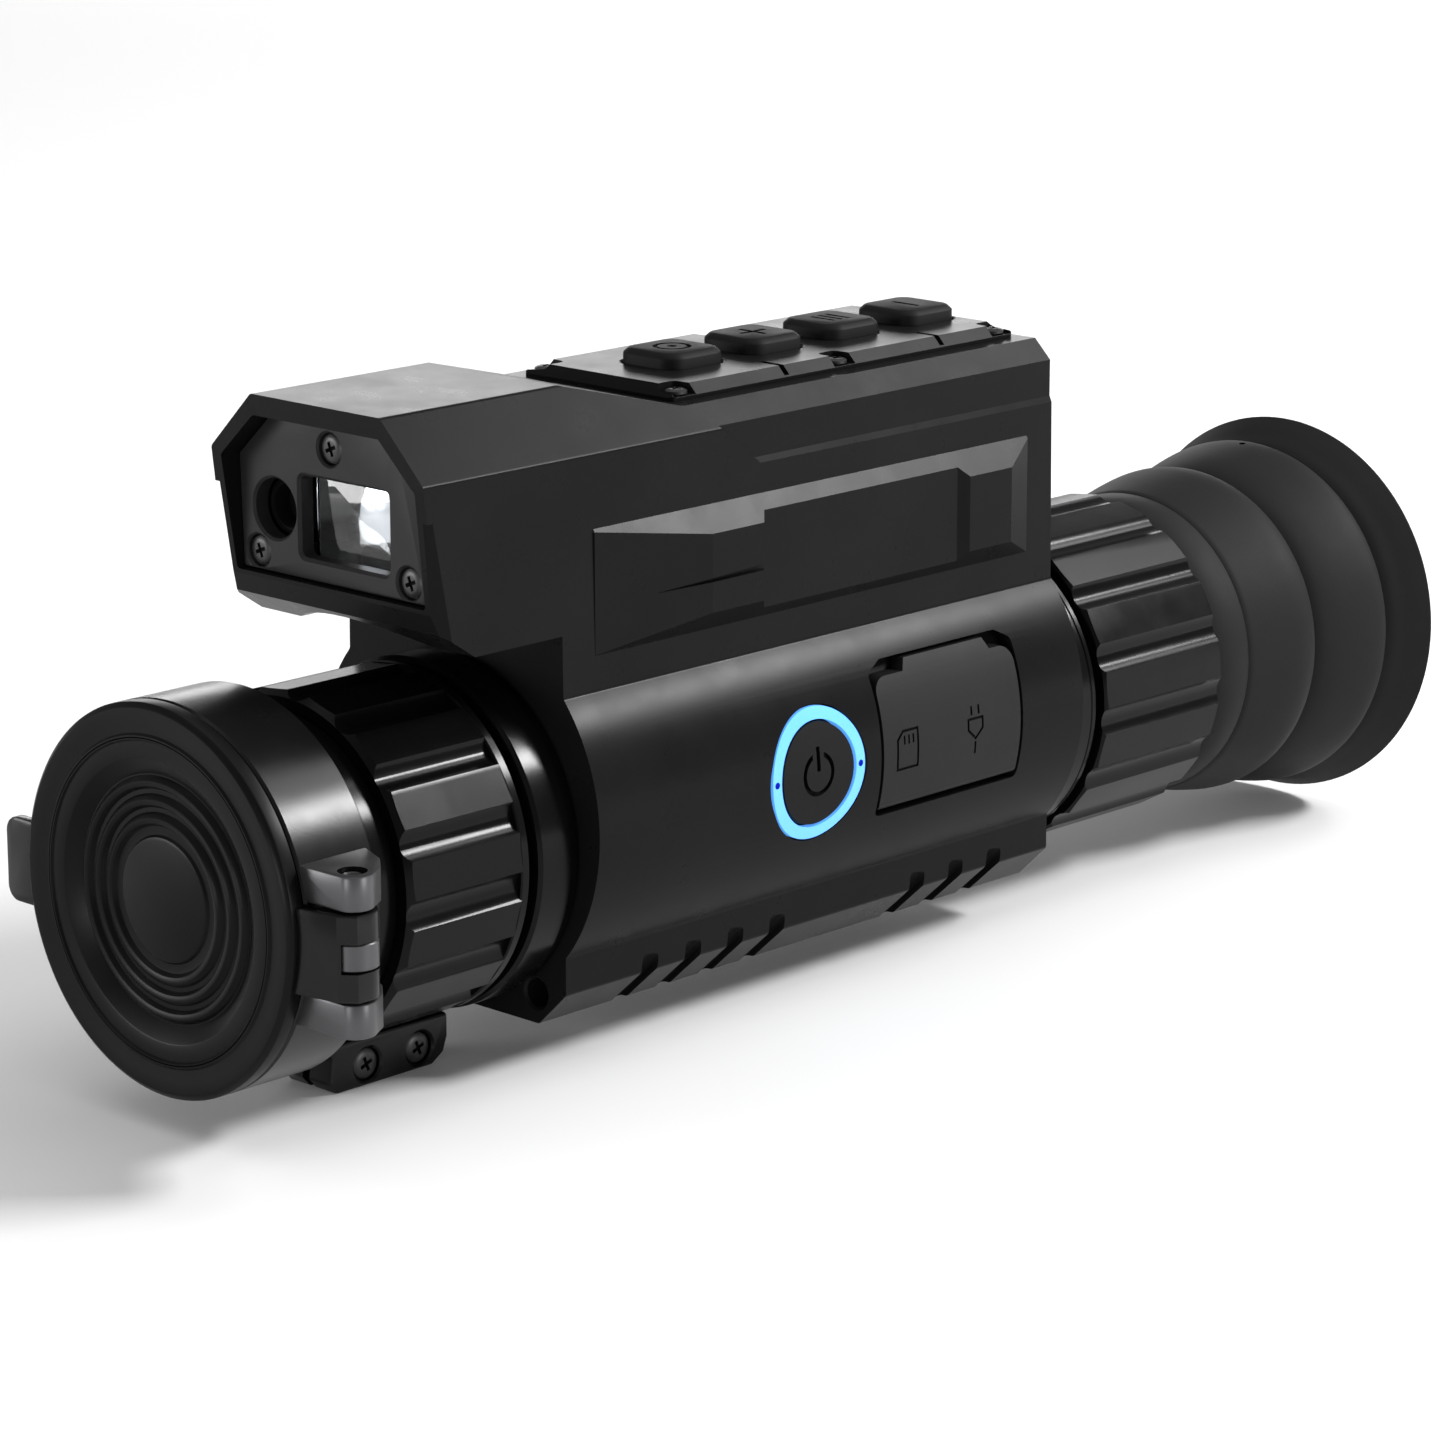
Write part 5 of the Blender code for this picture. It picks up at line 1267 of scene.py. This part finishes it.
def make_eyecup():
    """The rubber eyecup: two rolled folds and a flared rim, thin walled and open through."""
    neck = [(CUP_FRONT, 23.5), (CUP_FRONT + 0.3, 23.8), (97.2, 24.3), (97.8, 24.15), (98.2, 24.45)]
    first = smooth_profile([(98.2, 24.45), (102, 25.3), (106, 26.1), (109.0, 26.55), (111.2, 26.5),
                            (112.8, 25.9), (113.5, 25.0), (113.9, 24.2)])
    second = smooth_profile([(113.9, 24.2), (115.6, 25.4), (118.5, 26.6), (122, 27.6), (125.5, 28.35),
                             (127.8, 28.5), (129.2, 27.9), (129.9, 27.0), (130.3, 26.2)])
    rim = smooth_profile([(130.3, 26.2), (131.6, 27.4), (133.4, 28.6), (135.2, 29.9), (136.5, 30.8),
                          (137.0, 31.15)])
    lip = [(CUP_REAR, 31.15), (CUP_REAR, 30.6), (136.9, 30.2)]
    inner = smooth_profile([(136.9, 30.2), (133.5, 27.6), (130.5, 25.3), (128.6, 25.2), (126.6, 26.0)])
    core = [(124.0, 26.0), (118.0, 24.4), (114.0, 23.2), (111.0, 23.4), (109.0, 24.0), (106.0, 23.4),
            (TUBE_REAR + 2.0, 21.9), (TUBE_REAR + GAP, 21.4), (TUBE_REAR + GAP, TUBE_R + GAP),
            (CUP_FRONT, TUBE_R + GAP)]
    profile = neck + first[1:] + second[1:] + rim[1:] + lip + inner[1:] + core
    cup = turned(profile, steps=128, material="rubber")
    # The vent hole's wall carries the painted recess shade.
    vent = rod((0, 126.2, 0), "Z", AXIS_Z + 24, AXIS_Z + 31, 0.55, TINY, "recess_shade")
    boolean(cup, [vent])
    show(cup, "rubber_eyecup", "rubber", "scope_body", ["eyecup"], 50)


def make_eyepiece_optics():
    """The tube with its light baffles, and the moving cell with both lenses."""
    baffles = []
    for y in (98.6, 97.4, 96.2):
        baffles += [(y, TUBE_BORE), (y, TUBE_BORE + 0.5), (y - 0.6, TUBE_BORE + 0.5), (y - 0.6, TUBE_BORE)]
    seat = BODY_REAR - COVER_DEPTH - GAP
    tube = turned([(45.4, 21.2), (seat, 21.2), (seat, TUBE_R), (TUBE_REAR - 0.4, TUBE_R),
                   (TUBE_REAR, TUBE_R - 0.4), (TUBE_REAR, TUBE_BORE + 0.4), (TUBE_REAR - 0.4, TUBE_BORE)]
                  + baffles + [(45.4, TUBE_BORE)], material="turned")
    show(tube, "eyepiece_barrel", "turned", "scope_body", ["eyepiece_tube"])
    cell_r = TUBE_BORE - GAP
    cell = turned([(68.0, cell_r), (91.7, cell_r), (92.0, cell_r - 0.3), (92.0, 14.5), (91.5, 14.0),
                   (89.0, 14.0), (89.0, 15.2), (68.0, 15.2)], material="turned")
    boolean(cell, [box((-20, 20), (91.2, 93.0), (AXIS_Z - 0.8, AXIS_Z + 0.8), "turned")])
    show(cell, "eyepiece_mount", "turned", "eyepiece_group", ["eyepiece_cell"])
    for name, node, faces in EYE_LENSES:
        front, rear = [[(place + bend * (i / LENS_RINGS) ** 2, LENS_R * i / LENS_RINGS)
                        for i in range(LENS_RINGS + 1)] for place, bend in faces]
        lens = turned(front + rear[::-1], material="eye_glass")
        show(lens, name, "eye_glass", "eyepiece_group", [node])


def make_sockets():
    """The USB socket and the card slot behind the port cover."""
    shell = prism(rounded_rect(*USB_SHELL, 1.6), "X", 21.0, 25.4, "steel")
    boolean(shell, [prism(rounded_rect(*USB_MOUTH, 1.15), "X", 22.0, 28.0, "steel")])
    tongue = box((21.5, 24.8), (27.4, 32.2), (30.25, 30.95), "black_plastic")
    contacts = []
    for i in range(7):
        y = 28.0 + 0.6 * i
        contacts.append(box((23.2, 24.6), (y - 0.12, y + 0.12), (30.9, 31.05), "steel"))
    boolean(shell, [tongue] + contacts, 'UNION')
    show(shell, "usb_port", "steel", "scope_body", ["usb_socket"])
    y0, y1, z0, z1 = CARD_SHELL
    reader = round_edges(box((21.0, 24.5), (y0, y1), (z0, z1), "black_plastic"), 0.25)
    y0, y1, z0, z1 = CARD_MOUTH
    sections = []
    for x, grow in ((22.0, 0.0), (24.2, 0.0), (24.5, 0.25), (26.0, 0.25)):
        outline = rounded_rect(y0 - grow, y1 + grow, z0 - grow, z1 + grow, 0.3)
        sections.append([(x, y, z) for y, z in outline])
    boolean(reader, [loft(sections, "black_plastic")])
    show(reader, "card_reader", "black_plastic", "scope_body", ["card_slot"])


def dress_cad_nodes():
    """Gives every CAD node that still shows the finish of its material slot."""
    slots = {row["node"]: row["material_slot"] for row in frame["record"]["subparts"]}
    for name, node in frame["nodes"].items():
        node.data.materials.clear()
        node.data.materials.append(MATERIALS[slots[name]])
        node.data.shade_smooth()
        node.data.set_sharp_from_angle(angle=math.radians(30))


# ---------------------------------------------------------------- studio
def area_light(name, place, target, size, power):
    """A soft rectangular light at place, aimed at target."""
    data = bpy.data.lights.new(name, 'AREA')
    data.shape = 'RECTANGLE'
    data.size, data.size_y = size
    data.energy = power
    light = bpy.data.objects.new(name, data)
    light.location = place
    light.rotation_euler = (Vector(target) - Vector(place)).to_track_quat('-Z', 'Y').to_euler()
    bpy.context.scene.collection.objects.link(light)


def make_studio():
    """A pale floor, a white surround and the soft lights."""
    low = cad_box[0][2]
    bm = bmesh.new()
    bmesh.ops.create_grid(bm, x_segments=8, y_segments=8, size=FLOOR_HALF)
    bmesh.ops.translate(bm, vec=(0, 0, low), verts=bm.verts)
    floor = from_bmesh(bm, "studio_floor")
    mat = bpy.data.materials.new("floor")
    mat.use_nodes = True
    grey = (FLOOR_GREY, FLOOR_GREY, FLOOR_GREY, 1.0)
    settle(mat.node_tree.nodes["Principled BSDF"], {"Base Color": grey, "Roughness": FLOOR_ROUGH})
    floor.data.materials.append(mat)
    world = bpy.data.worlds.new("studio")
    world.use_nodes = True
    settle(world.node_tree.nodes["Background"], {"Color": (1.0, 1.0, 1.0, 1.0), "Strength": WORLD_STRENGTH})
    bpy.context.scene.world = world
    bpy.context.scene.view_settings.view_transform = 'Standard'
    for light in LIGHTS:
        area_light(*light)


def make_camera():
    """The camera of the scene."""
    data = bpy.data.cameras.new("camera")
    data.lens = CAMERA_LENS
    data.sensor_width = CAMERA_SENSOR
    data.shift_x, data.shift_y = CAMERA_SHIFT
    data.clip_start = CAMERA_CLIP
    camera = bpy.data.objects.new("camera", data)
    camera.location = CAMERA_PLACE
    camera.rotation_euler = (math.radians(CAMERA_TILT), 0.0, math.radians(CAMERA_HEADING))
    bpy.context.scene.collection.objects.link(camera)
    bpy.context.scene.camera = camera


make_eyepiece_optics()
make_sockets()
dress_cad_nodes()
make_housing()
make_rear_cover()
for number, (sx, sz) in enumerate(REAR_SCREWS, 1):
    cross_screw("rear_screw_%d" % number, "rear_cover_screw_%d" % number, (sx, 0, sz), "Y",
                BODY_REAR - 0.3, 1, HEAD_R, 0.7, SHANK_R, 2.75)
make_rangefinder()
make_panel()
for index, key_name in enumerate(BUTTON_NAMES):
    make_button(key_name, BUTTON_FIRST_Y + index * BUTTON_PITCH)
make_power()
make_port_cover()
make_objective()
make_cap_ring()
make_lid()
make_eyepiece()
make_eyecup()
make_studio()
make_camera()
